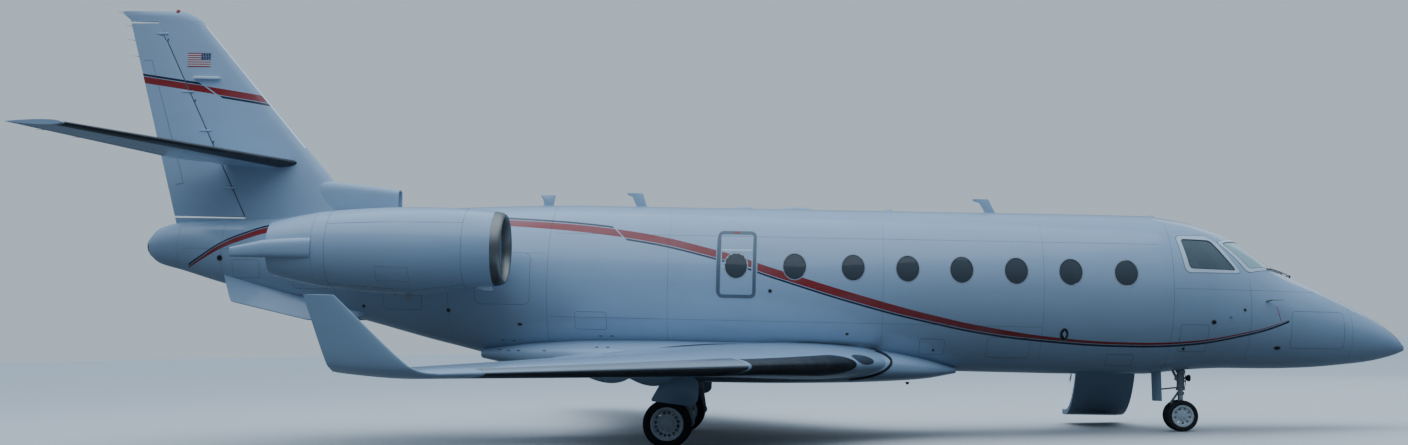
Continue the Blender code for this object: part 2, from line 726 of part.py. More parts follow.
def cabin_point(x, angle, inset):
    """A point off the inner wall at the door's narrower edge, at an angle in degrees."""
    point = hull_point(DOOR_X[1], radians(angle), WALL + inset)
    return Vector((x, point.y, point.z))


def build_door():
    """The airstair: a panel of the cabin wall swung down, with its steps and rails."""
    hinge = door_hinge()
    turn = Matrix.Rotation(radians(-DOOR_OPEN), 4, "X")
    swing = Matrix.Translation(hinge) @ turn @ Matrix.Translation(-hinge)
    low, high = DOOR_ANGLES
    panel = mesh_object("airstair_panel", tube(DOOR_X[0] - 0.5, DOOR_X[1] + 0.15, WALL))
    trim = wedge(DOOR_X[0] + RUNNING, DOOR_X[1] - RUNNING, low + DOOR_EDGE, high - DOOR_EDGE)
    combine(panel, mesh_object("airstair_trim", trim), "INTERSECT")
    join_knuckles(panel, DOOR_KNUCKLES, low + 0.4, low + 5.0)
    mesh_object("airstair_door", evaluated_bmesh(panel, swing), "white_paint", origin=hinge)

    cheeks = []
    for x in (DOOR_X[0] + STEP_INSET, DOOR_X[1] - STEP_INSET):
        span = (x - CHEEK_HALF, x + CHEEK_HALF)
        rings = [hull_ring(p, WALL + 2 * GAP) for p in span]
        rings += [hull_ring(p, WALL + CHEEK_DEPTH) for p in reversed(span)]
        cheek = mesh_object(f"airstair_cheek_{x:.2f}", loft(rings, closed=True))
        trim = wedge(*span, low + CHEEK_MARGIN, high - CHEEK_MARGIN)
        combine(cheek, mesh_object(f"airstair_cheek_trim_{x:.2f}", trim), "INTERSECT")
        cheeks.append(evaluated_bmesh(cheek))
    shapes = []
    near, far = DOOR_X[0] + STEP_INSET - 0.005, DOOR_X[1] - STEP_INSET + 0.005
    for angle in TREAD_ANGLES:
        seat = swing @ cabin_point(0, angle, 0.032)
        tread = box((near, seat.y, seat.z - TREAD_HALF), (far, seat.y + TREAD_DEPTH, seat.z + TREAD_HALF))
        tread.transform(swing.inverted())
        shapes.append(tread)
    inward = Vector(RAIL_REACH)
    for x in (DOOR_X[0] + STEP_INSET, DOOR_X[1] - STEP_INSET):
        foot, head = (cabin_point(x, angle, 0.030) for angle in RAIL_ANGLES)
        shapes.append(pipe([foot, foot + inward, head + inward * 0.9, head], RAIL_RADIUS, 8))
    steps = mesh_object("airstair_closed_steps", join_bodies(*cheeks))
    for index, shape in enumerate(shapes):
        combine(steps, mesh_object(f"airstair_join_{index}", shape), "UNION")
    mesh_object("airstair_steps", evaluated_bmesh(steps, swing), "bare_metal", origin=hinge)


def pipe(points, radius, sides):
    """A bent rail through a few points, mitred at its corners."""
    points = [Vector(p) for p in points]
    rings = []
    side = None
    for index, point in enumerate(points):
        before = (point - points[index - 1]).normalized() if index else None
        after = (points[index + 1] - point).normalized() if index + 1 < len(points) else None
        way = ((before or after) + (after or before)).normalized()
        if side is None:
            side = way.orthogonal().normalized()
        side = (side - way * side.dot(way)).normalized()
        other = way.cross(side)
        stretch = 1.0 / max(0.5, way.dot(after or before))
        bend = (after - before) if before and after else Vector()
        ring = []
        for k in range(sides):
            angle = 2 * pi * k / sides
            offset = (side * cos(angle) + other * sin(angle)) * radius
            if bend.length > 1e-6:
                fold = bend.normalized()
                offset += fold * offset.dot(fold) * (stretch - 1.0)
            ring.append(point + offset)
        rings.append(ring)
    return loft(rings)


FOIL_STEPS = [0.0, 0.006, 0.025, 0.08, 0.20, 0.38, 0.56]


def half_thickness(fraction, ratio):
    """Half the thickness of the section over its chord, with a slightly blunt trailing edge."""
    f = max(0.0, min(1.0, fraction))
    curve = 0.2969 * sqrt(f) - 0.1260 * f - 0.3516 * f**2 + 0.2843 * f**3 - 0.1036 * f**4
    return 5 * ratio * curve + 0.0020 * f


def grown(outline, amount):
    """Move every side of a closed outline outwards by the same amount."""
    points = [Vector(point) for point in outline]
    result = []
    for index, point in enumerate(points):
        before = point - points[index - 1]
        after = points[(index + 1) % len(points)] - point
        middle = Vector((before.y, -before.x)).normalized() + Vector((after.y, -after.x)).normalized()
        result.append(point + middle * (2 * amount / max(0.3, middle.length_squared)))
    return result


def fixed_outline(chord, ratio, hinge=None, clearance=0.0, grow=0.0):
    """Section of the fixed surface: to the trailing edge, or to a hollow round the hinge."""
    if hinge is None:
        end = 1.0
        edge = half_thickness(1.0, ratio)
        arc = [(1.0, edge * level) for level in (-0.6, -0.2, 0.2, 0.6)]
    else:
        reach = half_thickness(hinge, ratio) + clearance / chord
        ahead, behind = hinge - 0.1, hinge
        for _ in range(30):
            end = (ahead + behind) / 2
            if hypot(hinge - end, half_thickness(end, ratio)) > reach:
                ahead = end
            else:
                behind = end
        spread = atan2(half_thickness(end, ratio), hinge - end)
        outside = reach / cos(spread / 4)
        shares = (-0.75, -0.25, 0.25, 0.75)
        arc = [(hinge - outside * cos(a * spread), outside * sin(a * spread)) for a in shares]
    steps = FOIL_STEPS + [end]
    upper = [(f, half_thickness(f, ratio)) for f in reversed(steps)]
    lower = [(f, -half_thickness(f, ratio)) for f in steps[1:]]
    outline = [(f * chord, h * chord) for f, h in upper + lower + arc]
    return grown(outline, grow)


def moving_outline(chord, ratio, hinge):
    """Section of a hinged surface: a round nose about the hinge, then back to the edge."""
    nose = half_thickness(hinge, ratio)
    tail = [(f, half_thickness(f, ratio)) for f in (1.0, (1.0 + hinge) / 2)]
    arc = []
    for i in range(7):
        angle = pi / 2 + pi * i / 6
        arc.append((hinge + nose * cos(angle), nose * sin(angle)))
    back = [(f, -half_thickness(f, ratio)) for f in ((1.0 + hinge) / 2, 1.0)]
    return [(f * chord, h * chord) for f, h in tail + arc + back]


def between(table, s):
    """A row of a section table read at span s, on straight lines between rows."""
    for low, high in zip(table, table[1:]):
        if low[0] <= s <= high[0]:
            t = (s - low[0]) / (high[0] - low[0])
            return tuple(a + (b - a) * t for a, b in zip(low, high))
    raise ValueError(f"span {s} is outside the table")


def wing_ring(row, outline, side):
    """Place a section of the wing or winglet, canted about its chord."""
    y, z, lead, _chord, _ratio, cant = row
    tilt = radians(cant)
    return [Vector((lead - along, side * (y - high * sin(tilt)), z + high * cos(tilt)))
            for along, high in outline]


def wing_plan(grow=0.0):
    """Sections of the fixed wing: row and hinge clearance, or none where it is whole."""
    step = 0.0005
    flap, aileron = GAP, RUNNING
    plan = [(WING[0][0], flap), (WING[1][0], flap), (AILERON_Y[0] - RUNNING - step, flap),
            (AILERON_Y[0] - RUNNING, aileron), (AILERON_Y[1] + END_GAP, aileron),
            (AILERON_Y[1] + END_GAP + step, None), (WING[2][0], None)]
    rings = []
    for y, clearance in plan:
        row = between(WING, y)
        hinge = None if clearance is None else WING_HINGE
        rings.append((row, fixed_outline(row[3], row[4], hinge, clearance or 0.0, grow)))
    return rings


def wing_block(side):
    """The fixed wing, slightly grown, that trims what it passes through."""
    rings = [wing_ring(row, outline, side) for row, outline in wing_plan(1.5 * GAP)]
    for point in rings[0]:
        point.y -= side * GAP
    return loft(rings)


def hinge_line(table, ends, hinge, side):
    """Both ends of a hinge line of the wing or tailplane, at a share of the chord."""
    result = []
    for y in ends:
        row = between(table, y)
        result.append(Vector((row[2] - hinge * row[3], side * y, row[1])))
    return result


def hinged(name, rings, ends, gaps, span):
    """A control surface with a hinge pin across the gap at each end, up to the fixed wall."""
    start, end = ends
    way = (end - start).normalized()
    straight = abs(way.dot(Vector(span)))
    slant = sqrt(1 - straight**2)
    shapes = [loft(rings)]
    for point, out, gap in ((start, -way, gaps[0]), (end, way, gaps[1])):
        if gap:
            reach = (gap - GAP - PIN_RADIUS * slant) / straight
            shapes.append(rod(point - out * 0.05, point + out * reach, PIN_RADIUS, 8))
    return fuse(name, "white_paint", shapes, origin=(start + end) / 2)


def build_wings():
    """Wings with flaps, ailerons and winglets, and the belly fairing between them."""
    fairing = mesh_object("belly_fairing", fairing_loft(), "white_paint")
    combine(fairing, mesh_object("fairing_hull_trim", solid_hull(-5.0, 4.0)))
    for word, side in SIDES.items():
        rings = [wing_ring(row, outline, side) for row, outline in wing_plan()]
        wing = mesh_object(f"wing_{word}", loft(rings), "white_paint")
        for index, row in enumerate(TRACK_FAIRINGS):
            combine(wing, mesh_object(f"track_{word}_{index}", track_fairing(row, side)), "UNION")
        combine(fairing, mesh_object(f"fairing_wing_trim_{word}", wing_block(side)))
        winglet = [wing_ring(row, fixed_outline(row[3], row[4]), side) for row in WINGLET]
        mesh_object(f"winglet_{word}", loft(winglet), "white_paint")

        flap_rings = []
        for y in (FLAP_Y[0], WING[1][0], FLAP_Y[1]):
            row = between(WING, y)
            flap_rings.append(wing_ring(row, moving_outline(row[3], row[4], WING_HINGE), side))
        mesh_object(f"flap_{word}", loft(flap_rings), "white_paint")

        rings = []
        for y in AILERON_Y:
            row = between(WING, y)
            rings.append(wing_ring(row, moving_outline(row[3], row[4], WING_HINGE), side))
        ends = hinge_line(WING, AILERON_Y, WING_HINGE, side)
        hinged(f"aileron_{word}", rings, ends, (RUNNING, END_GAP), (0, 1, 0))


def track_fairing(row, side):
    """A slim canoe under the wing, its top inside the wing and its tail under the flap."""
    y, front, back, top, depth, half = row
    rings = []
    for t, share in TRACK_SHAPE:
        x = front + (back - front) * t
        ring = []
        for k in range(8):
            angle = 2 * pi * (k + 0.5) / 8
            reach = depth * share / 2
            across = side * y + half * share * cos(angle)
            ring.append(Vector((x, across, top - reach + reach * sin(angle))))
        rings.append(ring)
    return loft(rings)


def fairing_loft():
    """The blister under the cabin that carries the wing roots."""
    rings = []
    for i in range(13):
        x = FAIRING[0][0] + (FAIRING[-1][0] - FAIRING[0][0]) * i / 12
        half, top, bottom = (smooth(FAIRING, x, column) for column in (1, 2, 3))
        middle, reach = (top + bottom) / 2, (top - bottom) / 2
        ring = []
        for k in range(28):
            angle = 2 * pi * k / 28
            flat = 0.7
            across = abs(cos(angle))**flat * (1 if cos(angle) >= 0 else -1)
            high = abs(sin(angle))**flat * (1 if sin(angle) >= 0 else -1)
            ring.append(Vector((x, half * across, middle + reach * high)))
        rings.append(ring)
    return loft(rings)


def tail_ring(row, outline, side):
    y, z, lead = row[0], row[1], row[2]
    return [Vector((lead - along, side * y, z + high)) for along, high in outline]


def fin_ring(row, outline):
    z, lead = row[0], row[1]
    return [Vector((lead - along, high, z)) for along, high in outline]


def build_tail():
    """Fin with its air inlet and cap, rudder, tailplane, elevators and strakes."""
    step = 0.0005
    plan = [(FIN[0][0], None), (RUDDER_Z[0] - END_GAP - step, None), (RUDDER_Z[0] - END_GAP, RUNNING),
            (RUDDER_Z[1] + END_GAP, RUNNING), (RUDDER_Z[1] + END_GAP + step, None), (FIN[-1][0], None)]
    rings = []
    for z, clearance in plan:
        row = between(FIN, z)
        outline = fixed_outline(row[2], row[3], None if clearance is None else FIN_HINGE, clearance or 0.0)
        rings.append(fin_ring(row, outline))
    for row in FIN_CAP[1:]:
        rings.append(fin_ring(row, fixed_outline(row[2], row[3])))
    fin = mesh_object("fin", loft(rings), "white_paint")
    combine(fin, mesh_object("fin_inlet", inlet_loft()), "UNION")
    combine(fin, mesh_object("fin_inlet_duct", inlet_duct()))
    combine(fin, mesh_object("fin_hull_trim", solid_hull(-9.11, -4.0)))

    rudder_rings = []
    for z in RUDDER_Z:
        row = between(FIN, z)
        rudder_rings.append(fin_ring(row, moving_outline(row[2], row[3], FIN_HINGE)))
    rows = [between(FIN, z) for z in RUDDER_Z]
    ends = [Vector((row[1] - FIN_HINGE * row[2], 0, row[0])) for row in rows]
    hinged("rudder", rudder_rings, ends, (END_GAP, END_GAP), (0, 0, 1))

    outer = ELEVATOR_Y[1] + END_GAP
    half_plan = [(outer, RUNNING), (outer + step, None), (TAILPLANE[1][0], None)]
    tail_plan = [(-1, y, clearance) for y, clearance in reversed(half_plan)]
    tail_plan += [(1, 0.0, RUNNING)] + [(1, y, clearance) for y, clearance in half_plan]

    def tailplane_rings(grow):
        result = []
        for side, y, clearance in tail_plan:
            row = between(TAILPLANE, y)
            hinge = None if clearance is None else ELEVATOR_HINGE
            result.append(tail_ring(row, fixed_outline(row[3], row[4], hinge, clearance or 0.0, grow), side))
        return result

    mesh_object("tailplane", loft(tailplane_rings(0.0)), "white_paint")
    combine(fin, mesh_object("fin_tailplane_trim", loft(tailplane_rings(0.0006))))

    for word, side in SIDES.items():
        rings = []
        for y in ELEVATOR_Y:
            row = between(TAILPLANE, y)
            rings.append(tail_ring(row, moving_outline(row[3], row[4], ELEVATOR_HINGE), side))
        ends = hinge_line(TAILPLANE, ELEVATOR_Y, ELEVATOR_HINGE, side)
        hinged(f"elevator_{word}", rings, ends, (0, END_GAP), (0, 1, 0))

        strake = prism(mirrored(STRAKE, side), mirrored([STRAKE_HALF], side)[0])
        piece = mesh_object(f"strake_{word}", strake, "white_paint")
        combine(piece, mesh_object(f"strake_trim_{word}", solid_hull(-9.11, -4.0)))


def inlet_loft():
    """The rounded box of the inlet at the foot of the fin."""
    rings = []
    for x, half, top, bottom in INLET:
        middle, reach = (top + bottom) / 2, (top - bottom) / 2
        ring = []
        for k in range(16):
            angle = 2 * pi * k / 16
            across = abs(cos(angle))**0.6 * (1 if cos(angle) >= 0 else -1)
            high = abs(sin(angle))**0.6 * (1 if sin(angle) >= 0 else -1)
            ring.append(Vector((x, half * across, middle + reach * high)))
        rings.append(ring)
    return loft(rings)


def inlet_duct():
    """The blind duct behind the inlet's mouth."""
    x, half, top, bottom = INLET[0]
    low = (x - DUCT_DEPTH, INLET_WALL - half, bottom + DUCT_SILL)
    return box(low, (x + INLET_WALL, half - INLET_WALL, top - INLET_WALL))


def build_engines():
    """Two nacelles on their pylons, with the fan and the engine block inside."""
    for word, side in SIDES.items():
        centre = Vector((0, side * ENGINE_Y, ENGINE_Z))
        mesh_object(f"inlet_lip_{word}", turned(LIP_PROFILE, centre, 24), "bare_metal")
        mesh_object(f"nacelle_{word}", turned(COWL_PROFILE, centre, 24), "white_paint")
        rear = mesh_object(f"rear_cowl_{word}", turned(REAR_COWL_PROFILE, centre, 24), "bare_metal")
        rings = []
        for x, inner, outer, low, high in COWL_FAIRING:
            corners = ((inner, low), (outer, low * OUTER_SHARE), (outer, high * OUTER_SHARE), (inner, high))
            rings.append([centre + Vector((x, side * y, z)) for y, z in corners])
        combine(rear, mesh_object(f"cowl_fairing_{word}", loft(rings)), "UNION")

        def along(x):
            return centre + Vector((x, 0, 0))

        hub = rod(along(FAN_X + JOIN), along(CORE_X[0] + GAP), HUB_RADIUS, 24)
        nose = along(FAN_X + SPINNER["length"])
        spinner = rod(along(FAN_X), nose, HUB_RADIUS - 0.001, 24, SPINNER["tip"])
        blades = []
        for index in range(FAN_BLADES):
            angle = 2 * pi * index / FAN_BLADES
            half, skin = BLADE["half_chord"], BLADE["half_skin"]
            blade = box((-half, BLADE["root"], -skin), (half, FAN_RADIUS, skin))
            turn = Matrix.Rotation(angle, 4, "X") @ Matrix.Rotation(radians(BLADE["pitch"]), 4, "Y")
            blade.transform(Matrix.Translation(along(FAN_X - BLADE["back"])) @ turn)
            blades.append(blade)
        fuse(f"fan_{word}", "dark_metal", [hub, spinner, join_bodies(*blades)],
             origin=along(FAN_X))

        block = rod(along(CORE_X[0]), along(CORE_X[1]), CORE_RADIUS, 20)
        plug = rod(along(CORE_X[1] + JOIN), along(PLUG["end"]), PLUG["root"], 20, PLUG["tip"])
        struts = []
        for index in range(STRUTS["count"]):
            half, skin = STRUTS["half_chord"], STRUTS["half_skin"]
            strut = box((-half, STRUTS["root"], -skin), (half, STRUTS["tip"], skin))
            turn = Matrix.Rotation(2 * pi * (index + 0.25) / STRUTS["count"], 4, "X")
            strut.transform(Matrix.Translation(along(STRUTS["x"])) @ turn)
            struts.append(strut)
        fuse(f"engine_{word}", "dark_metal", [block, plug, join_bodies(*struts)])

        rings = []
        for y, lead, chord, ratio in PYLON:
            outline = fixed_outline(chord, ratio)
            rings.append([Vector((lead - along, side * y, ENGINE_Z + high)) for along, high in outline])
        pylon = mesh_object(f"pylon_{word}", loft(rings), "white_paint")
        combine(pylon, mesh_object(f"pylon_hull_trim_{word}", solid_hull(-7.0, -3.0)))
        skin = [(x, r + GAP) for x, r in COWL_PROFILE[:6] + REAR_COWL_PROFILE[1:3]]
        combine(pylon, mesh_object(f"pylon_nacelle_trim_{word}", turned_solid(skin, centre)))


def turned_solid(profile, centre, sides=24):
    """A filled body of revolution about X from its outline of (x, radius)."""
    rings = []
    for x, radius in profile:
        angles = [2 * pi * (i + 0.5) / sides for i in range(sides)]
        rings.append([centre + Vector((x, radius * cos(a), radius * sin(a))) for a in angles])
    return loft(rings)


def tyre_profile(wheel):
    """Half-round tyre section as (across, radius)."""
    half, tread, rim = wheel["width"] / 2, wheel["radius"], wheel["rim"]
    side = (tread - rim)
    return [(-half * 0.62, tread), (half * 0.62, tread), (half * 0.93, tread - side * 0.22),
            (half, tread - side * 0.52), (half * 0.80, rim + GAP), (-half * 0.80, rim + GAP),
            (-half, tread - side * 0.52), (-half * 0.93, tread - side * 0.22)]


def wheel_pair(name, wheel, side, turn_name):
    """Twin wheels on one axle: two tyres, and the hubs and axle as one piece."""
    centre = Vector((wheel["x"], side * wheel["y"], wheel["radius"]))
    for word, sign in (("right", -1), ("left", 1)):
        middle = centre + Vector((0, sign * wheel["half"], 0))
        tyre = turned(tyre_profile(wheel), middle, 24, "Y")
        mesh_object(f"{name}_tyre_{word}", tyre, "tyre_rubber", origin=centre, parked=False)
    half, rim = wheel["width"] / 2, wheel["rim"]
    reach = wheel["half"] + half * 0.85
    shapes = [rod(centre - Vector((0, reach, 0)), centre + Vector((0, reach, 0)), AXLE_RADIUS, 24)]
    for sign in (-1, 1):
        middle = centre + Vector((0, sign * wheel["half"], 0))
        edge, web = half * 0.78, half * 0.25
        outline = [(-edge, rim), (edge, rim), (edge, rim - 0.02), (web, rim - 0.035), (web, 0.02),
                   (-web, 0.02), (-web, rim - 0.035), (-edge, rim - 0.02)]
        shapes.append(turned(outline, middle, 24, "Y"))
    fuse(f"{name}_{turn_name}", "wheel_rim", shapes, origin=centre, parked=False)


def ground_point(x, y, z):
    """A point given over the ground, in the aeroplane's axes."""
    return PARK.inverted() @ Vector((x, y, z))


def eye(centre, outer, bore, half_width):
    """A round eye with a bore along Y."""
    profile = [(-half_width, outer), (half_width, outer), (half_width, bore), (-half_width, bore)]
    return turned(profile, centre, 24, "Y")


def nose_door():
    """The curved door that stands behind the nose leg, up to the hull."""
    door = NOSE_DOOR
    outline = []
    for radius, turns in ((door["radius"], range(7)), (door["radius"] - door["skin"], reversed(range(7)))):
        for i in turns:
            angle = radians(door["spread"] * (i / 3 - 1))
            outline.append((door["x"] + door["radius"] - radius * cos(angle), radius * sin(angle)))
    low, high = door["low"], door["high"]
    rings = [[ground_point(x, y, z) for x, y in outline] for z in (low, high)]
    return loft(rings)


def build_nose_gear():
    """Fixed leg with its brace, turning lower leg with the axle's eye, and the wheels."""
    axle = ground_point(NOSE_WHEEL["x"], 0, NOSE_WHEEL["radius"])
    low, knee, top = (axle + Vector(NOSE_LEG[key]) for key in ("low", "knee", "top"))
    bar_low, bar_high, brace_low, brace_high = (axle + Vector(p) for p in (*CROSS_BAR, *NOSE_BRACE))
    strut_end = ground_point(NOSE_DOOR["x"] + NOSE_DOOR["skin"] / 2, 0, DOOR_STRUT_TOP)
    leg = [rod(knee, top, NOSE_RADII["leg"], 16),
           rod(brace_low, brace_high, NOSE_RADII["brace"], 10),
           box(bar_low, bar_high),
           nose_door(),
           rod(axle + Vector(DOOR_STRUT_FOOT), strut_end, NOSE_RADII["strut"], 10)]
    leg_part = fuse("nose_leg", "leg_paint", leg)
    combine(leg_part, mesh_object("nose_leg_trim", solid_hull(5.0, 9.0)))
    arm = [rod(low, knee - Vector((0, 0, GAP)), NOSE_RADII["lower"], 16),
           eye(axle, NOSE_RADII["eye"], EYE_BORE, NOSE_EYE_HALF)]
    fork = fuse("nose_lower_leg", "bare_metal", arm, origin=axle)
    bore = rod(axle - Vector((0, 0.2, 0)), axle + Vector((0, 0.2, 0)), AXLE_BORE, 24)
    combine(fork, mesh_object("nose_axle_bore", bore))
    wheel_pair("nose", NOSE_WHEEL, 1, "hubs")


def build_main_gear():
    """Each main leg with its trailing link and shock strut, the leg door and the wheels."""
    for word, side in SIDES.items():
        axle = ground_point(MAIN_WHEEL["x"], side * MAIN_WHEEL["y"], MAIN_WHEEL["radius"])
        knee, top, foot, neck = (axle + Vector(MAIN_LEG[key]) for key in ("knee", "top", "foot", "neck"))
        pin = Vector((0, KNUCKLE_HALF, 0))
        shapes = [rod(knee, top, MAIN_RADII["leg"], 16),
                  rod(knee - pin, knee + pin, MAIN_RADII["knuckle"], 16),
                  rod(knee, axle, MAIN_RADII["link"], 14),
                  rod(foot, neck, MAIN_RADII["rod"], 12),
                  rod(neck, axle + Vector(SHOCK_TOP), MAIN_RADII["barrel"], 14),
                  eye(axle, MAIN_RADII["eye"], EYE_BORE, MAIN_EYE_HALF)]
        leg = fuse(f"main_leg_{word}", "leg_paint", shapes)
        bore = rod(axle - Vector((0, 0.3, 0)), axle + Vector((0, 0.3, 0)), AXLE_BORE, 24)
        combine(leg, mesh_object(f"main_axle_bore_{word}", bore))
        combine(leg, mesh_object(f"main_leg_trim_{word}", wing_block(side)))
        wheel_pair(f"main_{word}", MAIN_WHEEL, side, "hubs")

        outline = mirrored([(x, LEG_DOOR_Y, z) for x, z in LEG_DOOR], side)
        panel = prism(outline, (0, LEG_DOOR_HALF, 0))
        inner = MAIN_WHEEL["y"] + MAIN_RADII["leg"] + GAP
        y_near, y_far = sorted((side * inner, side * LEG_DOOR_Y))
        boss = box((BOSS_X[0], y_near, BOSS_Z[0]), (BOSS_X[1], y_far, BOSS_Z[1]))
        fuse(f"main_leg_door_{word}", "white_paint", [panel, boss], parked=False)


build_fuselage()
build_glass()
build_interior()
build_door()
build_wings()
build_tail()
build_engines()
build_nose_gear()
build_main_gear()
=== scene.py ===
# %% [markdown]
# A twin-engine business jet, parked with its airstair down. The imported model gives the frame: every
# solid at its real place, and the bodies that turn. This script makes the looks around it. The model
# could be painted as it is, but its skins are coarse facets, so each visible skin is modelled again
# here, finer, from the same sizes, and the coarse one is hidden.

# %% Load the frame
from math import atan2, cos, degrees, dist, hypot, pi, radians, sin, sqrt

import bmesh
import bpy
from mathutils import Matrix, Vector


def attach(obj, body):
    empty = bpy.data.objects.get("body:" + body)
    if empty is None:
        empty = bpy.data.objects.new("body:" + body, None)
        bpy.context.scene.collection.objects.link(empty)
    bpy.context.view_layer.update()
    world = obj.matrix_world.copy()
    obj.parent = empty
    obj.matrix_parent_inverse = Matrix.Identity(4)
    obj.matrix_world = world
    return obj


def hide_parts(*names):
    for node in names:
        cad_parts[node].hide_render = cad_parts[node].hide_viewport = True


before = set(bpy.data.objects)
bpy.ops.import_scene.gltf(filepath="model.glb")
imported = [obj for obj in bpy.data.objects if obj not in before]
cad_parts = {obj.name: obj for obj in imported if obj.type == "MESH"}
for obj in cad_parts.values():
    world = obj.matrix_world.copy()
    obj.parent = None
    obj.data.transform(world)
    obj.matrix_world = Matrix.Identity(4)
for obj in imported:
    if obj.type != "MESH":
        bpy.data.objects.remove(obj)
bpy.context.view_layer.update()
link = bpy.context.scene.collection.objects.link
print("nodes in the frame:", len(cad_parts))

# %% [markdown]
# The aeroplane is drawn in its own level axes, x ahead, y to port and z up, as its makers would give
# its stations. On the ground it sits a little nose down, so one matrix tips everything that belongs
# to the airframe. Wheels stand on the floor and keep the floor's axes.

# %% Parked attitude
NOSE_DOWN = radians(2.35)
SHIFT_X = 0.047
PARK = Matrix.Translation((SHIFT_X, 0, 0)) @ Matrix.Rotation(NOSE_DOWN, 4, "Y")
SIDES = {"right": -1, "left": 1}
print("nose down by", round(degrees(NOSE_DOWN), 2), "degrees")

# %% [markdown]
# The camera stands where the photographer stood: about 24 metres off the starboard side, at eye
# height, turned slightly to the left and tipped a little up.

# %% Camera
CAMERA_PLACE = (0.679, -23.70, 1.70)
CAMERA_TURN = (93.605, 1.105, 3.079)
LENS, SENSOR, FAR_CLIP = 40.81, 36.0, 400.0
camera_data = bpy.data.cameras.new("camera")
camera_data.lens = LENS
camera_data.sensor_width = SENSOR
camera_data.clip_end = FAR_CLIP
camera = bpy.data.objects.new("camera", camera_data)
camera.location = CAMERA_PLACE
camera.rotation_euler = [radians(a) for a in CAMERA_TURN]
link(camera)
bpy.context.scene.camera = camera
print("camera at", CAMERA_PLACE)

# %% [markdown]
# A glossy aeroplane is lit with very large soft lights, because a small lamp only shows as a spot in
# the paint. Here the light is a dome that grows brighter towards its top, as an open sky does, with
# wide area lamps for the crown and the edges. The backdrop that the camera sees is a plain pale one.

# %% Sky and lamps
# Brightness of the sky at its foot and at its top, the height where it starts to rise, and the backdrop.
SKY_FOOT, SKY_TOP, SKY_EDGE, BACKDROP = 0.10, 1.15, -0.05, 0.66
SKY_BLUE, BACKDROP_TINT = (0.52, 0.74, 1.0, 1), (0.74, 0.88, 1.0, 1)
world = bpy.data.worlds.new("studio")
bpy.context.scene.world = world
world.use_nodes = True
sky_tree = world.node_tree
sky = sky_tree.nodes["Background"]
sky_way = sky_tree.nodes.new("ShaderNodeTexCoord")
sky_parts = sky_tree.nodes.new("ShaderNodeSeparateXYZ")
sky_rise = sky_tree.nodes.new("ShaderNodeMapRange")
sky_rise.interpolation_type = "SMOOTHSTEP"
backdrop = sky_tree.nodes.new("ShaderNodeBackground")
for item, socket, value in ((sky, "Color", SKY_BLUE), (sky_rise, "From Min", SKY_EDGE),
                            (sky_rise, "To Min", SKY_FOOT), (sky_rise, "To Max", SKY_TOP),
                            (backdrop, "Color", BACKDROP_TINT), (backdrop, "Strength", BACKDROP)):
    item.inputs[socket].default_value = value
seen = sky_tree.nodes.new("ShaderNodeLightPath")
either = sky_tree.nodes.new("ShaderNodeMixShader")
for start, end in ((sky_way.outputs["Generated"], sky_parts.inputs[0]),
                   (sky_parts.outputs["Z"], sky_rise.inputs["Value"]),
                   (sky_rise.outputs["Result"], sky.inputs["Strength"]),
                   (seen.outputs["Is Camera Ray"], either.inputs[0]), (sky.outputs[0], either.inputs[1]),
                   (backdrop.outputs[0], either.inputs[2]),
                   (either.outputs[0], sky_tree.nodes["World Output"].inputs["Surface"])):
    sky_tree.links.new(start, end)


def area_lamp(name, place, target, size, power, colour):
    """A wide square lamp that looks at a target."""
    data = bpy.data.lights.new(name, "AREA")
    data.size = size
    data.energy = power
    data.color = colour
    lamp = bpy.data.objects.new(name, data)
    lamp.location = place
    lamp.rotation_euler = (Vector(target) - Vector(place)).to_track_quat("-Z", "Y").to_euler()
    link(lamp)


area_lamp("top_lamp", (-2, -3, 16), (0, 0, 2), 24, 1500, (0.78, 0.89, 1.0))
area_lamp("far_lamp", (16, 15, 10), (2, 0, 2), 9, 200, (0.92, 0.95, 1.0))

# %% [markdown]
# The floor is a plain pale sheet. The real one is dark and throws little light up, so to all but the
# camera it is darker. It is part of the studio and not of the aeroplane.

# %% Floor
FLOOR_SIZE, FLOOR_ROUGHNESS = 160.0, 0.75
FLOOR_TO_LIGHT, FLOOR_TO_CAMERA = (0.13, 0.135, 0.14, 1), (0.98, 0.90, 0.84, 1)
bm = bmesh.new()
bmesh.ops.create_grid(bm, x_segments=1, y_segments=1, size=FLOOR_SIZE / 2)
floor_mesh = bpy.data.meshes.new("floor")
bm.to_mesh(floor_mesh)
bm.free()
floor = bpy.data.objects.new("floor", floor_mesh)
link(floor)
floor_finish = bpy.data.materials.new("floor_finish")
floor_finish.use_nodes = True
floor_shader = floor_finish.node_tree.nodes["Principled BSDF"]
floor_tree = floor_finish.node_tree
floor_seen = floor_tree.nodes.new("ShaderNodeLightPath")
floor_tone = floor_tree.nodes.new("ShaderNodeMix")
floor_tone.data_type = "RGBA"
floor_tone.inputs["A"].default_value = FLOOR_TO_LIGHT
floor_tone.inputs["B"].default_value = FLOOR_TO_CAMERA
floor_tree.links.new(floor_seen.outputs["Is Camera Ray"], floor_tone.inputs["Factor"])
floor_tree.links.new(floor_tone.outputs["Result"], floor_shader.inputs["Base Color"])
floor_shader.inputs["Roughness"].default_value = FLOOR_ROUGHNESS
floor_mesh.materials.append(floor_finish)
print("floor", FLOOR_SIZE, "m wide")


# %% [markdown]
# Most skins here are one outline pulled through a row of places. A list of faces could make that
# too, but the extrude operator does it the way a modeller would: the first ring is drawn, then its
# edges are extruded and the new ring is moved to its place, again and again. Each point carries its
# number in a layer, which the operator copies, so the new ring always knows which point is which.

# %% Mesh helpers
def spread(low, high, count):
    """Evenly spaced values from low to high, both among them."""
    return [low + (high - low) * i / count for i in range(count + 1)]


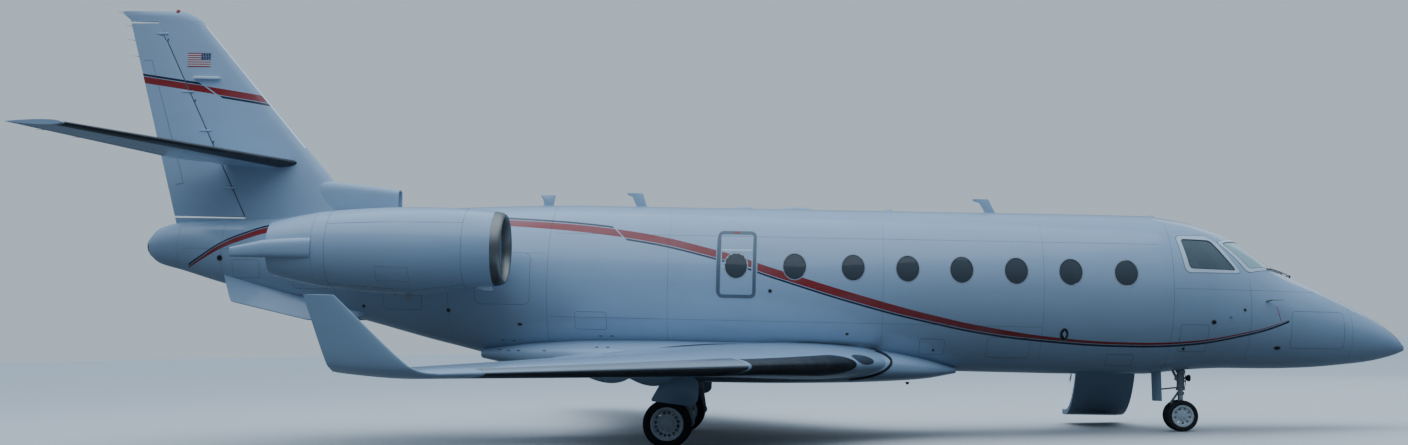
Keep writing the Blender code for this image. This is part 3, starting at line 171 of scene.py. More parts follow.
def straight(start, end, count):
    """Evenly spaced places from start to end, both among them."""
    return list(zip(*(spread(a, b, count) for a, b in zip(start, end))))


def sweep(rings, capped=True):
    """Pull the first ring through all the others, and close both ends where capped."""
    bm = bmesh.new()
    number = bm.verts.layers.int.new("number")
    row = [bm.verts.new(point) for point in rings[0]]
    for index, vert in enumerate(row):
        vert[number] = index
    edges = [bm.edges.new(pair) for pair in zip(row, row[1:] + row[:1])]
    if capped:
        bmesh.ops.contextual_create(bm, geom=edges)
    for ring in rings[1:]:
        made = bmesh.ops.extrude_edge_only(bm, edges=edges)["geom"]
        row = [g for g in made if isinstance(g, bmesh.types.BMVert)]
        fresh = set(row)
        edges = [g for g in made if isinstance(g, bmesh.types.BMEdge) and set(g.verts) <= fresh]
        for vert in row:
            vert.co = ring[vert[number]]
    if capped:
        bmesh.ops.contextual_create(bm, geom=edges)
    return bm


def spun(profile, centre, steps=96, axis=(1, 0, 0)):
    """Turn an outline of (along, radius) right round an axis through the centre."""
    bm = bmesh.new()
    along = Vector(axis)
    out = Vector((1, 0, 0)) if axis[2] else Vector((0, 0, 1))
    row = [bm.verts.new(Vector(centre) + along * a + out * r) for a, r in profile]
    edges = [bm.edges.new(pair) for pair in zip(row, row[1:])]
    bmesh.ops.spin(bm, geom=row + edges, cent=centre, axis=axis, angle=2 * pi, steps=steps, use_merge=True)
    bmesh.ops.remove_doubles(bm, verts=bm.verts, dist=0.00005)
    return bm


def merge_in(bm, other, matrix=None):
    """Add another bmesh to this one, moved by a matrix, and free it."""
    if matrix is not None:
        other.transform(matrix)
    spare = bpy.data.meshes.new("spare")
    other.to_mesh(spare)
    other.free()
    bm.from_mesh(spare)
    bpy.data.meshes.remove(spare)
    return bm


def block(low, high, bevel=0.0, segments=2):
    """A box between two corners, its edges rounded."""
    low, high = Vector(low), Vector(high)
    bm = bmesh.new()
    bmesh.ops.create_cube(bm, size=1.0)
    bm.transform(Matrix.Translation((low + high) / 2) @ Matrix.Diagonal((*(high - low), 1.0)))
    if bevel:
        bmesh.ops.bevel(bm, geom=bm.edges[:], offset=bevel, segments=segments, profile=0.5,
                        affect="EDGES", material=-1)
    return bm


def rod(start, end, radius, sides=24, end_radius=None, bevel=0.0):
    """A round bar between two points."""
    start, end = Vector(start), Vector(end)
    bm = bmesh.new()
    bmesh.ops.create_cone(bm, cap_ends=True, segments=sides, radius1=radius,
                          radius2=radius if end_radius is None else end_radius, depth=(end - start).length)
    if bevel:
        rims = [e for e in bm.edges if len(e.link_faces) == 2 and e.calc_face_angle(0) > 1.0]
        bmesh.ops.bevel(bm, geom=rims, offset=bevel, segments=2, profile=0.5, affect="EDGES", material=-1)
    turn = (end - start).to_track_quat("Z", "Y").to_matrix().to_4x4()
    bm.transform(Matrix.Translation((start + end) / 2) @ turn)
    return bm


def tube(points, radius, sides=10):
    """A hose or rail through a few points, on a curve with a round bevel that is then made a mesh."""
    curve = bpy.data.curves.new("tube", "CURVE")
    curve.dimensions = "3D"
    curve.bevel_depth = radius
    curve.bevel_resolution = max(1, sides // 4)
    curve.use_fill_caps = True
    curve.resolution_u = 6
    spline = curve.splines.new("NURBS")
    spline.points.add(len(points) - 1)
    for item, point in zip(spline.points, points):
        item.co = (*point, 1.0)
    spline.use_endpoint_u = True
    spline.order_u = 3
    holder = bpy.data.objects.new("tube", curve)
    link(holder)
    graph = bpy.context.evaluated_depsgraph_get()
    mesh = bpy.data.meshes.new_from_object(holder.evaluated_get(graph))
    bm = bmesh.new()
    bm.from_mesh(mesh)
    bmesh.ops.remove_doubles(bm, verts=bm.verts, dist=0.00002)
    bpy.data.objects.remove(holder)
    bpy.data.meshes.remove(mesh)
    return bm


def outwards(bm):
    """Turn the faces of each separate closed body so that they point out of it."""
    bmesh.ops.recalc_face_normals(bm, faces=bm.faces)
    left = set(bm.faces)
    while left:
        start = left.pop()
        island, edge_of = [start], [start]
        while edge_of:
            face = edge_of.pop()
            for edge in face.edges:
                for other in edge.link_faces:
                    if other in left:
                        left.remove(other)
                        island.append(other)
                        edge_of.append(other)
        near = island[0].verts[0].co
        volume = 0.0
        for face in island:
            a = face.verts[0].co - near
            for b, c in zip(face.verts[1:], face.verts[2:]):
                volume += a.dot((b.co - near).cross(c.co - near))
        if volume < 0:
            bmesh.ops.reverse_faces(bm, faces=island)


# The record's material slot of each finish, for the pieces that stand for a solid.
SLOT_OF = dict(body_paint="white_paint", plain_paint="white_paint", door_paint="white_paint",
               cabin_glass="cabin_glass", front_glass="cabin_glass", cockpit_glass="cabin_glass",
               lip_metal="bare_metal", chrome="bare_metal", hot_metal="dark_metal", blade_metal="dark_metal",
               tyre_rubber="tyre_rubber", rim_enamel="wheel_rim", leg_enamel="leg_paint",
               cabin_lining="cabin_lining", cabin_carpet="cabin_lining", seat_leather="cabin_lining")


def piece(name, bm, finish, body="airframe", stands_for=(), parked=True, slot=None, crease=35):
    """Make a shape a finished object in its place, riding on its body."""
    if parked:
        bm.transform(PARK)
    bmesh.ops.dissolve_degenerate(bm, dist=0.00002, edges=bm.edges)
    outwards(bm)
    mesh = bpy.data.meshes.new(name)
    bm.to_mesh(mesh)
    bm.free()
    mesh.materials.append(finish)
    mesh.shade_smooth()
    mesh.set_sharp_from_angle(angle=radians(crease))
    obj = bpy.data.objects.new(name, mesh)
    link(obj)
    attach(obj, body)
    if stands_for:
        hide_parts(*([stands_for] if isinstance(stands_for, str) else stands_for))
        slot = slot or SLOT_OF[finish.name.split(".")[0]]
    return obj


def cut(bm, cutter, operation="DIFFERENCE"):
    """Cut a shape with another through an exact Boolean, and give back the result as a bmesh."""
    holders = []
    for part in (bm, cutter):
        bmesh.ops.recalc_face_normals(part, faces=part.faces)
        mesh = bpy.data.meshes.new("work")
        part.to_mesh(mesh)
        part.free()
        holders.append(bpy.data.objects.new("work", mesh))
        link(holders[-1])
    modifier = holders[0].modifiers.new("cut", "BOOLEAN")
    modifier.operation = operation
    modifier.solver = "EXACT"
    modifier.object = holders[1]
    graph = bpy.context.evaluated_depsgraph_get()
    mesh = bpy.data.meshes.new_from_object(holders[0].evaluated_get(graph))
    result = bmesh.new()
    result.from_mesh(mesh)
    bpy.data.meshes.remove(mesh)
    for holder in holders:
        bpy.data.objects.remove(holder)
    return result


print("mesh helpers ready")

# %% [markdown]
# The fuselage is given by a short table of sections, each a pair of half ellipses with its top,
# bottom, half width and the height where it is widest. Straight lines between the rows would show
# as kinks in glossy paint, so the table is read on a curve that passes through every row and never
# swings past it.

# %% Fuselage sections
HULL = [
    (9.430, 1.560, 1.490, 0.040, 1.525),
    (9.330, 1.680, 1.445, 0.150, 1.555),
    (9.150, 1.830, 1.385, 0.270, 1.600),
    (8.900, 1.985, 1.325, 0.385, 1.650),
    (8.550, 2.165, 1.275, 0.505, 1.720),
    (8.100, 2.380, 1.225, 0.640, 1.800),
    (7.600, 2.605, 1.197, 0.775, 1.880),
    (7.360, 2.760, 1.190, 0.835, 1.930),
    (7.100, 2.950, 1.187, 0.895, 1.980),
    (6.900, 3.070, 1.185, 0.940, 2.020),
    (6.650, 3.180, 1.175, 0.990, 2.070),
    (6.250, 3.295, 1.140, 1.085, 2.150),
    (5.900, 3.352, 1.094, 1.134, 2.191),
    (5.750, 3.376, 1.075, 1.155, 2.208),
    (4.300, 3.382, 1.048, 1.167, 2.215),
    (-2.600, 3.382, 1.048, 1.167, 2.215),
    (-2.900, 3.374, 1.058, 1.161, 2.217),
    (-3.400, 3.360, 1.075, 1.150, 2.220),
    (-4.500, 3.310, 1.285, 1.040, 2.320),
    (-5.750, 3.230, 1.596, 0.830, 2.440),
    (-7.000, 3.130, 1.885, 0.600, 2.530),
    (-8.000, 3.060, 2.122, 0.420, 2.600),
    (-8.600, 3.030, 2.295, 0.330, 2.670),
    (-8.980, 2.930, 2.400, 0.250, 2.670),
    (-9.110, 2.800, 2.500, 0.150, 2.650),
]
HULL_SIDES = 120
STATION_STEP = 0.10
WALL = 0.045
RADOME_X, COCKPIT_X, CABIN_END_X, TAIL_CONE_X = 8.55, 5.90, -2.90, -8.60
SEAM = 0.0015


def slopes_of(rows, column):
    """A slope at each row, flat where the table turns, so that the curve never overshoots."""
    steps = [(b[column] - a[column]) / (b[0] - a[0]) for a, b in zip(rows, rows[1:])]
    inner = [2 * a * b / (a + b) if a * b > 0 else 0.0 for a, b in zip(steps, steps[1:])]
    return [steps[0], *inner, steps[-1]]


def read_smooth(table, x, column):
    """One column of a table at x."""
    rows = sorted(table)
    x = min(max(x, rows[0][0]), rows[-1][0])
    index = max(i for i in range(len(rows) - 1) if rows[i][0] <= x)
    slopes = slopes_of(rows, column)
    low, high = rows[index], rows[index + 1]
    span = high[0] - low[0]
    t = (x - low[0]) / span
    return ((2 * t**3 - 3 * t**2 + 1) * low[column] + (t**3 - 2 * t**2 + t) * span * slopes[index]
            + (3 * t**2 - 2 * t**3) * high[column] + (t**3 - t**2) * span * slopes[index + 1])


SECTION_CACHE = {}


def hull_section(x):
    """Top, bottom, half width and widest height of the fuselage at x."""
    key = round(x, 5)
    if key not in SECTION_CACHE:
        SECTION_CACHE[key] = tuple(read_smooth(HULL, x, column) for column in (1, 2, 3, 4))
    return SECTION_CACHE[key]


def hull_point(x, angle, inset=0.0):
    """A point of the skin at an angle above the level, moved in by inset."""
    top, bottom, half, middle = hull_section(x)
    reach = (top - middle if sin(angle) > 0 else middle - bottom) - inset
    return Vector((x, (half - inset) * cos(angle), middle + reach * sin(angle)))


def hull_rings(start, end, inset=0.0, sides=HULL_SIDES, step=STATION_STEP):
    """Rings of the skin from one station to another."""
    count = max(2, round(abs(end - start) / step))
    angles = [2 * pi * i / sides for i in range(sides)]
    return [[hull_point(x, a, inset) for a in angles] for x in spread(start, end, count)]


def hull_shell(start, end, wall=WALL, lift=0.0):
    """A length of fuselage with its wall: the outer skin, and the inner one folded back inside it."""
    outer = hull_rings(start, end, -lift)
    inner = hull_rings(end, start, wall)
    bm = sweep(outer + inner, capped=False)
    ends = [e for e in bm.edges if e.is_boundary]
    bmesh.ops.bridge_loops(bm, edges=ends)
    return bm


def side_offset(x, z):
    """Half width of the skin at a station and height."""
    top, bottom, half, middle = hull_section(x)
    reach = top - middle if z > middle else middle - bottom
    return half * sqrt(max(0.0, 1 - ((z - middle) / reach)**2))


def raised(offset, x, z, side, lift, step):
    """A place of a surface whose half width is offset(x, z), raised square to it by lift."""
    y = offset(x, z)
    slope_x = (offset(x + step, z) - offset(x - step, z)) / (2 * step)
    slope_z = (offset(x, z + step) - offset(x, z - step)) / (2 * step)
    normal = Vector((-slope_x, 1, -slope_z)).normalized()
    return Vector((x + normal.x * lift, side * (y + normal.y * lift), z + normal.z * lift))


def on_side(x, z, side, lift=0.0):
    """The place on the skin that is seen at x and z from the side, raised by lift."""
    return raised(side_offset, x, z, side, lift, 0.01)


print("fuselage length", round(HULL[0][0] - HULL[-1][0], 2), "m")

# %% [markdown]
# Aircraft paint is a glossy white that is never perfectly even: it carries faint streaks, a little
# grime and small changes of gloss. Those are the same on every painted piece, so they are one node
# group with named inputs, placed in each material with its own values. The group reads a vector, so
# the pattern stays on the piece whatever moves.

# %% Node helpers
def new_material(name, colour, roughness=0.4, metallic=0.0, **extra):
    """A material with its shader, whose plain values are set on the shader's own sockets."""
    material = bpy.data.materials.new(name)
    material.use_nodes = True
    shader = material.node_tree.nodes["Principled BSDF"]
    shader.inputs["Base Color"].default_value = (*colour, 1)
    shader.inputs["Roughness"].default_value = roughness
    shader.inputs["Metallic"].default_value = metallic
    for socket, value in extra.items():
        shader.inputs[socket.replace("_", " ")].default_value = value
    return material


class Graph:
    """Short ways to add nodes to a tree."""

    def __init__(self, tree):
        self.tree = tree

    def node(self, kind, **settings):
        """A new node with its settings."""
        item = self.tree.nodes.new(kind)
        for key, value in settings.items():
            setattr(item, key, value)
        return item

    def feed(self, socket, value):
        """Link another node's output to a socket, or set the socket's own value."""
        if hasattr(value, "is_output"):
            self.tree.links.new(value, socket)
        else:
            socket.default_value = value

    def math(self, operation, *values, clamp=False):
        """One step of arithmetic."""
        item = self.node("ShaderNodeMath", operation=operation, use_clamp=clamp)
        for socket, value in zip(item.inputs, values):
            self.feed(socket, value)
        return item.outputs[0]

    def mix(self, share, first, second):
        """One colour turning into another by a share."""
        item = self.node("ShaderNodeMix", data_type="RGBA")
        self.feed(item.inputs["Factor"], share)
        colours = [s for s in item.inputs if s.type == "RGBA"]
        for socket, value in zip(colours, (first, second)):
            self.feed(socket, value if hasattr(value, "is_output") else (*value, 1))
        return [s for s in item.outputs if s.type == "RGBA"][0]

    def noise(self, vector, scale, detail, rough):
        """A cloudy pattern."""
        item = self.node("ShaderNodeTexNoise")
        self.feed(item.inputs["Vector"], vector)
        item.inputs["Scale"].default_value = scale
        item.inputs["Detail"].default_value = detail
        item.inputs["Roughness"].default_value = rough
        return item.outputs["Fac"]

    def place(self, scale=(1, 1, 1), airborne=False):
        """Object coordinates, stretched, or turned into the aeroplane's level axes."""
        coordinates = self.node("ShaderNodeTexCoord").outputs["Object"]
        mapping = self.node("ShaderNodeMapping")
        self.feed(mapping.inputs["Vector"], coordinates)
        mapping.inputs["Scale"].default_value = scale
        if airborne:
            mapping.inputs["Rotation"].default_value = (0, -NOSE_DOWN, 0)
            shift = Matrix.Rotation(-NOSE_DOWN, 4, "Y") @ Vector((-SHIFT_X, 0, 0))
            mapping.inputs["Location"].default_value = shift
        return mapping.outputs["Vector"]

    def axes(self, vector):
        """The three numbers of a vector."""
        item = self.node("ShaderNodeSeparateXYZ")
        self.feed(item.inputs[0], vector)
        return item.outputs

    def curve(self, value, points, low, high):
        """A value read on a smooth curve through points, given in real units."""
        (x0, y0), (x1, y1) = low, high
        item = self.node("ShaderNodeFloatCurve")
        share = self.math("DIVIDE", self.math("SUBTRACT", value, x0), x1 - x0, clamp=True)
        self.feed(item.inputs["Value"], share)
        line = item.mapping.curves[0]
        spots = [((x - x0) / (x1 - x0), (y - y0) / (y1 - y0)) for x, y in points]
        line.points[0].location = spots[0]
        line.points[1].location = spots[-1]
        for spot in spots[1:-1]:
            line.points.new(*spot)
        item.mapping.update()
        return self.math("ADD", self.math("MULTIPLY", item.outputs["Value"], y1 - y0), y0)


# How streaks are drawn out along x, y and z, the part of the pattern that stays clean, and the dirt's gain.
STREAK_STRETCH, CLEAN_BELOW, DIRT_GAIN = (0.5, 5.0, 2.2), 0.16, 2.2
RELIEF_DEPTH = 0.002


def wear_group():
    """Streaks, grime and gloss changes for paint and metal."""
    group = bpy.data.node_groups.new("Wear", "ShaderNodeTree")
    sockets = group.interface
    sockets.new_socket("Vector", in_out="INPUT", socket_type="NodeSocketVector")
    for title, value in (("Grime", 0.25), ("Gloss", 0.2), ("Gloss change", 0.12), ("Scale", 1.0)):
        socket = sockets.new_socket(title, in_out="INPUT", socket_type="NodeSocketFloat")
        socket.default_value = value
    for title in ("Dirt", "Roughness", "Height"):
        sockets.new_socket(title, in_out="OUTPUT", socket_type="NodeSocketFloat")
    g = Graph(group)
    given = g.node("NodeGroupInput").outputs
    result = g.node("NodeGroupOutput").inputs
    scaled = g.node("ShaderNodeVectorMath", operation="SCALE")
    g.feed(scaled.inputs[0], given["Vector"])
    g.feed(scaled.inputs["Scale"], given["Scale"])
    spot = scaled.outputs[0]
    stretched = g.node("ShaderNodeVectorMath", operation="MULTIPLY")
    g.feed(stretched.inputs[0], spot)
    stretched.inputs[1].default_value = STREAK_STRETCH
    streaks = g.noise(stretched.outputs[0], 2.0, 5.0, 0.6)
    blots = g.noise(spot, 1.3, 6.0, 0.62)
    fine = g.noise(spot, 45.0, 2.0, 0.5)
    mixed = g.math("MULTIPLY", streaks, blots)
    dirt = g.math("MULTIPLY", g.math("SUBTRACT", mixed, CLEAN_BELOW, clamp=True), given["Grime"], clamp=True)
    rough = g.math("ADD", given["Gloss"], g.math("MULTIPLY", mixed, given["Gloss change"]), clamp=True)
    g.feed(result["Dirt"], g.math("MULTIPLY", dirt, DIRT_GAIN, clamp=True))
    g.feed(result["Roughness"], rough)
    g.feed(result["Height"], fine)
    return group


WEAR = wear_group()


def weathered(material, graph, vector, colour, grime=0.25, gloss=0.2, change=0.12, scale=1.0,
              dirt_colour=(0.32, 0.34, 0.37), bump=0.0):
    """Lay the wear group over a colour and feed the material's shader."""
    shader = material.node_tree.nodes["Principled BSDF"]
    wear = graph.node("ShaderNodeGroup", node_tree=WEAR)
    graph.feed(wear.inputs["Vector"], vector)
    for title, value in (("Grime", grime), ("Gloss", gloss), ("Gloss change", change), ("Scale", scale)):
        wear.inputs[title].default_value = value
    graph.feed(shader.inputs["Base Color"], graph.mix(wear.outputs["Dirt"], colour, dirt_colour))
    graph.feed(shader.inputs["Roughness"], wear.outputs["Roughness"])
    if bump:
        relief = graph.node("ShaderNodeBump")
        relief.inputs["Strength"].default_value = bump
        relief.inputs["Distance"].default_value = RELIEF_DEPTH
        graph.feed(relief.inputs["Height"], wear.outputs["Height"])
        graph.feed(shader.inputs["Normal"], relief.outputs["Normal"])
    return material


print("node group:", WEAR.name)

# %% [markdown]
# The white of the body, darkened and tinted blue as painted shade of an open sky, with the wave of
# red and dark blue that runs from the tail over the wing and down to the nose. A decal could carry it,
# but a pattern worked out from the place on the hull follows every curve for free: the height of the
# wave is a curve read along the fuselage, and the band, its thin companion line and the slanting cut
# are bands of distance from that curve.

# %% Body paint
# The body's white is darkened and tinted blue: painted shade of an open sky, laid into the paint's colour.
SHADE_TINTED_WHITE = (0.440, 0.560, 0.700)
RED = (0.360, 0.016, 0.014)
NAVY = (0.012, 0.014, 0.040)
# The wave: station, height of the middle of the red band, half its width. The cut is a line: its lean,
# its station at z = 0, and half its width.
WAVE = [(-8.60, 2.25, 0.004), (-8.29, 2.43, 0.016), (-7.60, 2.78, 0.040), (-6.90, 2.965, 0.048),
        (-5.20, 3.090, 0.047), (-3.60, 3.064, 0.048), (-1.90, 2.935, 0.054), (-0.50, 2.660, 0.053),
        (0.39, 2.390, 0.056), (1.54, 2.058, 0.056), (2.53, 1.818, 0.045), (3.41, 1.655, 0.038),
        (4.29, 1.558, 0.022), (5.16, 1.517, 0.017), (6.04, 1.543, 0.014), (6.91, 1.690, 0.009),
        (7.59, 1.904, 0.002)]
WAVE_ENDS = (-8.45, 7.58)
CUT = (0.986, 0.992, 0.011)
LINE_GAP, LINE_WIDTH = 0.009, 0.014


def glossy_white(name):
    """A new material with the white of the body under a clear coat; the white is darkened and tinted blue as
    painted shade.
    """
    return new_material(name, SHADE_TINTED_WHITE, 0.22, 0.0, Coat_Weight=0.35, Coat_Roughness=0.06)


def banded(g, away, half, slant, visible, line):
    """The red band, half wide each way, and the dark line that changes sides where slant changes sign."""
    red = g.math("MULTIPLY", g.math("LESS_THAN", g.math("ABSOLUTE", away), half), visible)
    sign = g.math("SUBTRACT", g.math("MULTIPLY", g.math("GREATER_THAN", slant, 0.0), 2.0), 1.0)
    drop = g.math("ADD", half, LINE_GAP + line)
    lowered = g.math("ADD", g.math("MULTIPLY", away, sign), drop)
    dark = g.math("MULTIPLY", g.math("LESS_THAN", g.math("ABSOLUTE", lowered), line), visible)
    return g.mix(dark, g.mix(red, SHADE_TINTED_WHITE, RED), NAVY)


def body_paint(name, attribute=None):
    """White with the wave, the line that changes sides at the cut, and light grime."""
    material = glossy_white(name)
    g = Graph(material.node_tree)
    if attribute:
        vector = g.node("ShaderNodeAttribute", attribute_name=attribute).outputs["Vector"]
    else:
        vector = g.place(airborne=True)
    x, _y, z = g.axes(vector)
    low, high = (WAVE[0][0], 1.0), (WAVE[-1][0], 3.5)
    middle = g.curve(x, [(row[0], row[1]) for row in WAVE], low, high)
    half = g.curve(x, [(row[0], row[2]) for row in WAVE], (low[0], 0.0), (high[0], 0.1))
    away = g.math("SUBTRACT", z, middle)
    span = g.math("MULTIPLY", g.math("GREATER_THAN", x, WAVE_ENDS[0]), g.math("LESS_THAN", x, WAVE_ENDS[1]))
    slant = g.math("SUBTRACT", g.math("ADD", x, g.math("MULTIPLY", z, CUT[0])), CUT[1])
    visible = g.math("MULTIPLY", span, g.math("GREATER_THAN", g.math("ABSOLUTE", slant), CUT[2]))
    colour = banded(g, away, half, slant, visible, LINE_WIDTH)
    return weathered(material, g, vector, colour, grime=0.30, gloss=0.20, change=0.14)


BODY_PAINT = body_paint("body_paint")
print("wave rows:", len(WAVE))

# %% [markdown]
# The plain finishes: white paint without the wave, its white tinted as painted shade, satin inlet lips,
# heat-stained exhaust metal, black rubber de-icing boots whose black also serves as painted shade under
# the leading edges, leg enamel, chrome, wheel castings, tyre rubber, tinted glass, and the cabin's
# lining, carpet and leather. Each has its own pattern at its own scale.

# %% Plain finishes
def coated(name, colour, **wear):
    """A painted or rubber finish with the wear group over one colour."""
    shader_values = wear.pop("shader", {})
    material = new_material(name, colour, 0.3, **shader_values)
    g = Graph(material.node_tree)
    return weathered(material, g, g.place(), g.mix(0.0, colour, colour), **wear)


def bare(name, colour, roughness, brushed=(1, 1, 1), scale=30.0, stain=None):
    """Bare metal with fine brushing, and with heat stain where one is given."""
    material = new_material(name, colour, roughness, 1.0)
    g = Graph(material.node_tree)
    shader = material.node_tree.nodes["Principled BSDF"]
    grain = g.noise(g.place(brushed), scale, 3.0, 0.6)
    patches = g.noise(g.place(), 2.5, 5.0, 0.65)
    tone = g.math("ADD", g.math("MULTIPLY", grain, 0.10), g.math("MULTIPLY", patches, 0.14))
    g.feed(shader.inputs["Roughness"], g.math("ADD", tone, roughness - 0.10, clamp=True))
    g.feed(shader.inputs["Base Color"], g.mix(patches, colour, stain or tuple(c * 0.78 for c in colour)))
    return material


PLAIN_PAINT = coated("plain_paint", SHADE_TINTED_WHITE, grime=0.22, gloss=0.20, change=0.12,
                     shader=dict(Coat_Weight=0.35, Coat_Roughness=0.06))
GREY_PAINT = coated("grey_paint", (0.42, 0.45, 0.49), grime=0.45, gloss=0.34, change=0.2)
LEG_PAINT = coated("leg_enamel", (0.46, 0.47, 0.49), grime=0.8, gloss=0.32, change=0.25, scale=5.0,
                   dirt_colour=(0.07, 0.065, 0.06))
# Black rubber of the de-icing boots; the same black is also laid as painted shade under the leading edges.
BOOT_RUBBER_AND_SHADE = coated("boot_rubber", (0.012, 0.012, 0.014), grime=0.25, gloss=0.30, change=0.2, scale=3.0)
TYRE_RUBBER = coated("tyre_rubber", (0.020, 0.020, 0.021), grime=0.30, gloss=0.62, change=0.3, scale=9.0,
                     dirt_colour=(0.11, 0.10, 0.09), bump=0.4)
BLACK_TRIM = coated("black_trim", (0.018, 0.018, 0.020), grime=0.2, gloss=0.42, change=0.2, scale=6.0)
FRAME_WHITE = coated("frame_white", (0.82, 0.88, 0.93), grime=0.1, gloss=0.25, change=0.1)
BAND_GREY = coated("band_grey", (0.130, 0.165, 0.205), grime=0.2, gloss=0.30, change=0.15, scale=3.0)
LINING = coated("cabin_lining", (0.50, 0.46, 0.40), grime=0.1, gloss=0.75, change=0.1, scale=8.0, bump=0.3)
CARPET = coated("cabin_carpet", (0.10, 0.11, 0.14), grime=0.3, gloss=0.9, change=0.05, scale=20.0, bump=1.0)
LEATHER = coated("seat_leather", (0.46, 0.38, 0.29), grime=0.2, gloss=0.45, change=0.2, scale=14.0, bump=0.5)
LIP_METAL = bare("lip_metal", (0.300, 0.285, 0.265), 0.42, (0.3, 6, 6), 12.0, stain=(0.220, 0.205, 0.185))
POLISHED = bare("polished_edge", (0.62, 0.64, 0.67), 0.22, (6, 0.4, 6), 12.0)
DUCT_METAL = bare("duct_metal", (0.42, 0.43, 0.45), 0.34, (0.3, 8, 8), 14.0)
HOT_METAL = bare("hot_metal", (0.34, 0.30, 0.27), 0.36, (0.4, 7, 7), 12.0, stain=(0.13, 0.11, 0.13))
BLADE_METAL = bare("blade_metal", (0.30, 0.31, 0.33), 0.30, (8, 1, 1), 10.0)
RIM_METAL = coated("rim_enamel", (0.84, 0.87, 0.88), grime=0.5, gloss=0.34, change=0.2, scale=8.0)
CHROME = bare("chrome", (0.80, 0.81, 0.82), 0.16, (1, 1, 8), 20.0)
STEEL = bare("steel", (0.46, 0.46, 0.47), 0.34, (1, 1, 1), 40.0)
RED_LENS = new_material("red_lens", (0.55, 0.02, 0.02), 0.12, 0.0, Transmission_Weight=0.4)
CLEAR_LENS = new_material("clear_lens", (0.85, 0.88, 0.90), 0.06, 0.0, Transmission_Weight=0.7)


def tinted_glass(name, colour, clear):
    """Glass with a tint and faint smears in its gloss."""
    material = new_material(name, colour, 0.03, 0.0, Transmission_Weight=clear, IOR=1.48)
    g = Graph(material.node_tree)
    shader = material.node_tree.nodes["Principled BSDF"]
    smears = g.noise(g.place((1, 1, 0.4)), 6.0, 4.0, 0.6)
    g.feed(shader.inputs["Roughness"], g.math("MULTIPLY", smears, 0.09))
    return material


CABIN_GLASS = tinted_glass("cabin_glass", (0.10, 0.115, 0.13), 0.45)
COCKPIT_GLASS = tinted_glass("cockpit_glass", (0.34, 0.42, 0.44), 0.75)
FRONT_GLASS = tinted_glass("front_glass", (0.62, 0.84, 0.84), 0.30)
print("materials:", len(bpy.data.materials))

# %% [markdown]
# The skin is swept as a thick shell for each length of fuselage, and the openings are cut from it
# with an exact Boolean. A window is an oval prism that runs across the aeroplane; the piece of skin
# that the same oval takes out of a thinner shell makes its pane, so pane and skin share their curve.

# %% Window cutters
WINDOW_X = [5.241, 4.473, 3.717, 2.957, 2.202, 1.437, 0.613, -0.215]
WINDOW_Z = 2.50
WINDOW_HALF = (0.160, 0.1825)
OVAL_STEPS = 40
EXIT_X, EXIT_Z, EXIT_CORNER = (-0.490, 0.050), (2.040, 2.960), 0.10
PANE_GAP = 0.004
CUTTER_Y = (0.95, 1.30)


def oval(x, z, half, steps=OVAL_STEPS):
    """Points (x, z) of an oval."""
    return [(x + half[0] * cos(2 * pi * i / steps), z + half[1] * sin(2 * pi * i / steps))
            for i in range(steps)]


def rounded(xs, zs, radius, steps=8):
    """Points (x, z) of a rectangle with round corners."""
    corners = [(xs[1], zs[1], 0), (xs[0], zs[1], 1), (xs[0], zs[0], 2), (xs[1], zs[0], 3)]
    points = []
    for x, z, quarter in corners:
        cx = x - radius if x == xs[1] else x + radius
        cz = z - radius if z == zs[1] else z + radius
        for i in range(steps + 1):
            a = (quarter + i / steps) * pi / 2
            points.append((cx + radius * cos(a), cz + radius * sin(a)))
    return filled(points)


def filled(points, step=0.03):
    """A closed outline with points added along its long sides, so that it can bend over the skin."""
    out = []
    for here, there in zip(points, points[1:] + points[:1]):
        out += straight(here, there, max(1, round(dist(here, there) / step)))[:-1]
    return out


def scaled(points, grow):
    """A counter-clockwise outline moved outwards by grow, square to itself."""
    out = []
    for index, (x, z) in enumerate(points):
        before, after = points[index - 1], points[(index + 1) % len(points)]
        way = Vector((after[0] - before[0], after[1] - before[1])).normalized()
        out.append((x + way.y * grow, z - way.x * grow))
    return out


def prism(points, near, far):
    """A closed prism of an outline in x and z, from one y to another."""
    bm = bmesh.new()
    face = bm.faces.new([bm.verts.new((x, near, z)) for x, z in points])
    made = bmesh.ops.extrude_face_region(bm, geom=[face])["geom"]
    moved = [g for g in made if isinstance(g, bmesh.types.BMVert)]
    bmesh.ops.translate(bm, verts=moved, vec=(0, far - near, 0))
    return bm


def windows_of(side):
    """Window places of a side: on the port side the airstair takes the first one's place."""
    return WINDOW_X if side < 0 else WINDOW_X[1:]


print("windows:", len(WINDOW_X), "to starboard,", len(WINDOW_X) - 1, "to port")

# %% [markdown]
# The passenger door is a cut-out of the same barrel: a stretch of the section's angle between two
# stations. Cutting it with a prism in x and z would slope its sill, so the cutter is a wedge that
# follows the angle round the hull's middle.

# %% Cabin shell
DOOR_X = (4.920, 5.820)
DOOR_ANGLES = (radians(-43), radians(50))
DOOR_MIDDLE = 2.215


def door_cutter(grow=0.0):
    """A wedge through the port side between the door's stations and angles."""
    extra = grow / 1.16
    low, high = DOOR_ANGLES[0] - extra, DOOR_ANGLES[1] + extra
    angles = spread(low, high, 24)
    rings = []
    for x in (DOOR_X[0] - grow, DOOR_X[1] + grow):
        rings.append([Vector((x, reach * cos(a), DOOR_MIDDLE + reach * sin(a)))
                      for reach, row in ((1.45, angles), (0.80, angles[::-1])) for a in row])
    return sweep(rings)


def window_cutters(half):
    """Prisms of every cabin window, half wide and tall each way."""
    bm = bmesh.new()
    for side in SIDES.values():
        for x in windows_of(side):
            merge_in(bm, prism(oval(x, WINDOW_Z, half), side * CUTTER_Y[0], side * CUTTER_Y[1]))
    return bm


cabin = hull_shell(COCKPIT_X - SEAM, CABIN_END_X + SEAM)
cabin = cut(cabin, window_cutters(WINDOW_HALF))
cabin = cut(cabin, door_cutter(0.006))
CABIN_SKIN = piece("cabin_skin", cabin, BODY_PAINT, stands_for="cabin_shell", crease=25)

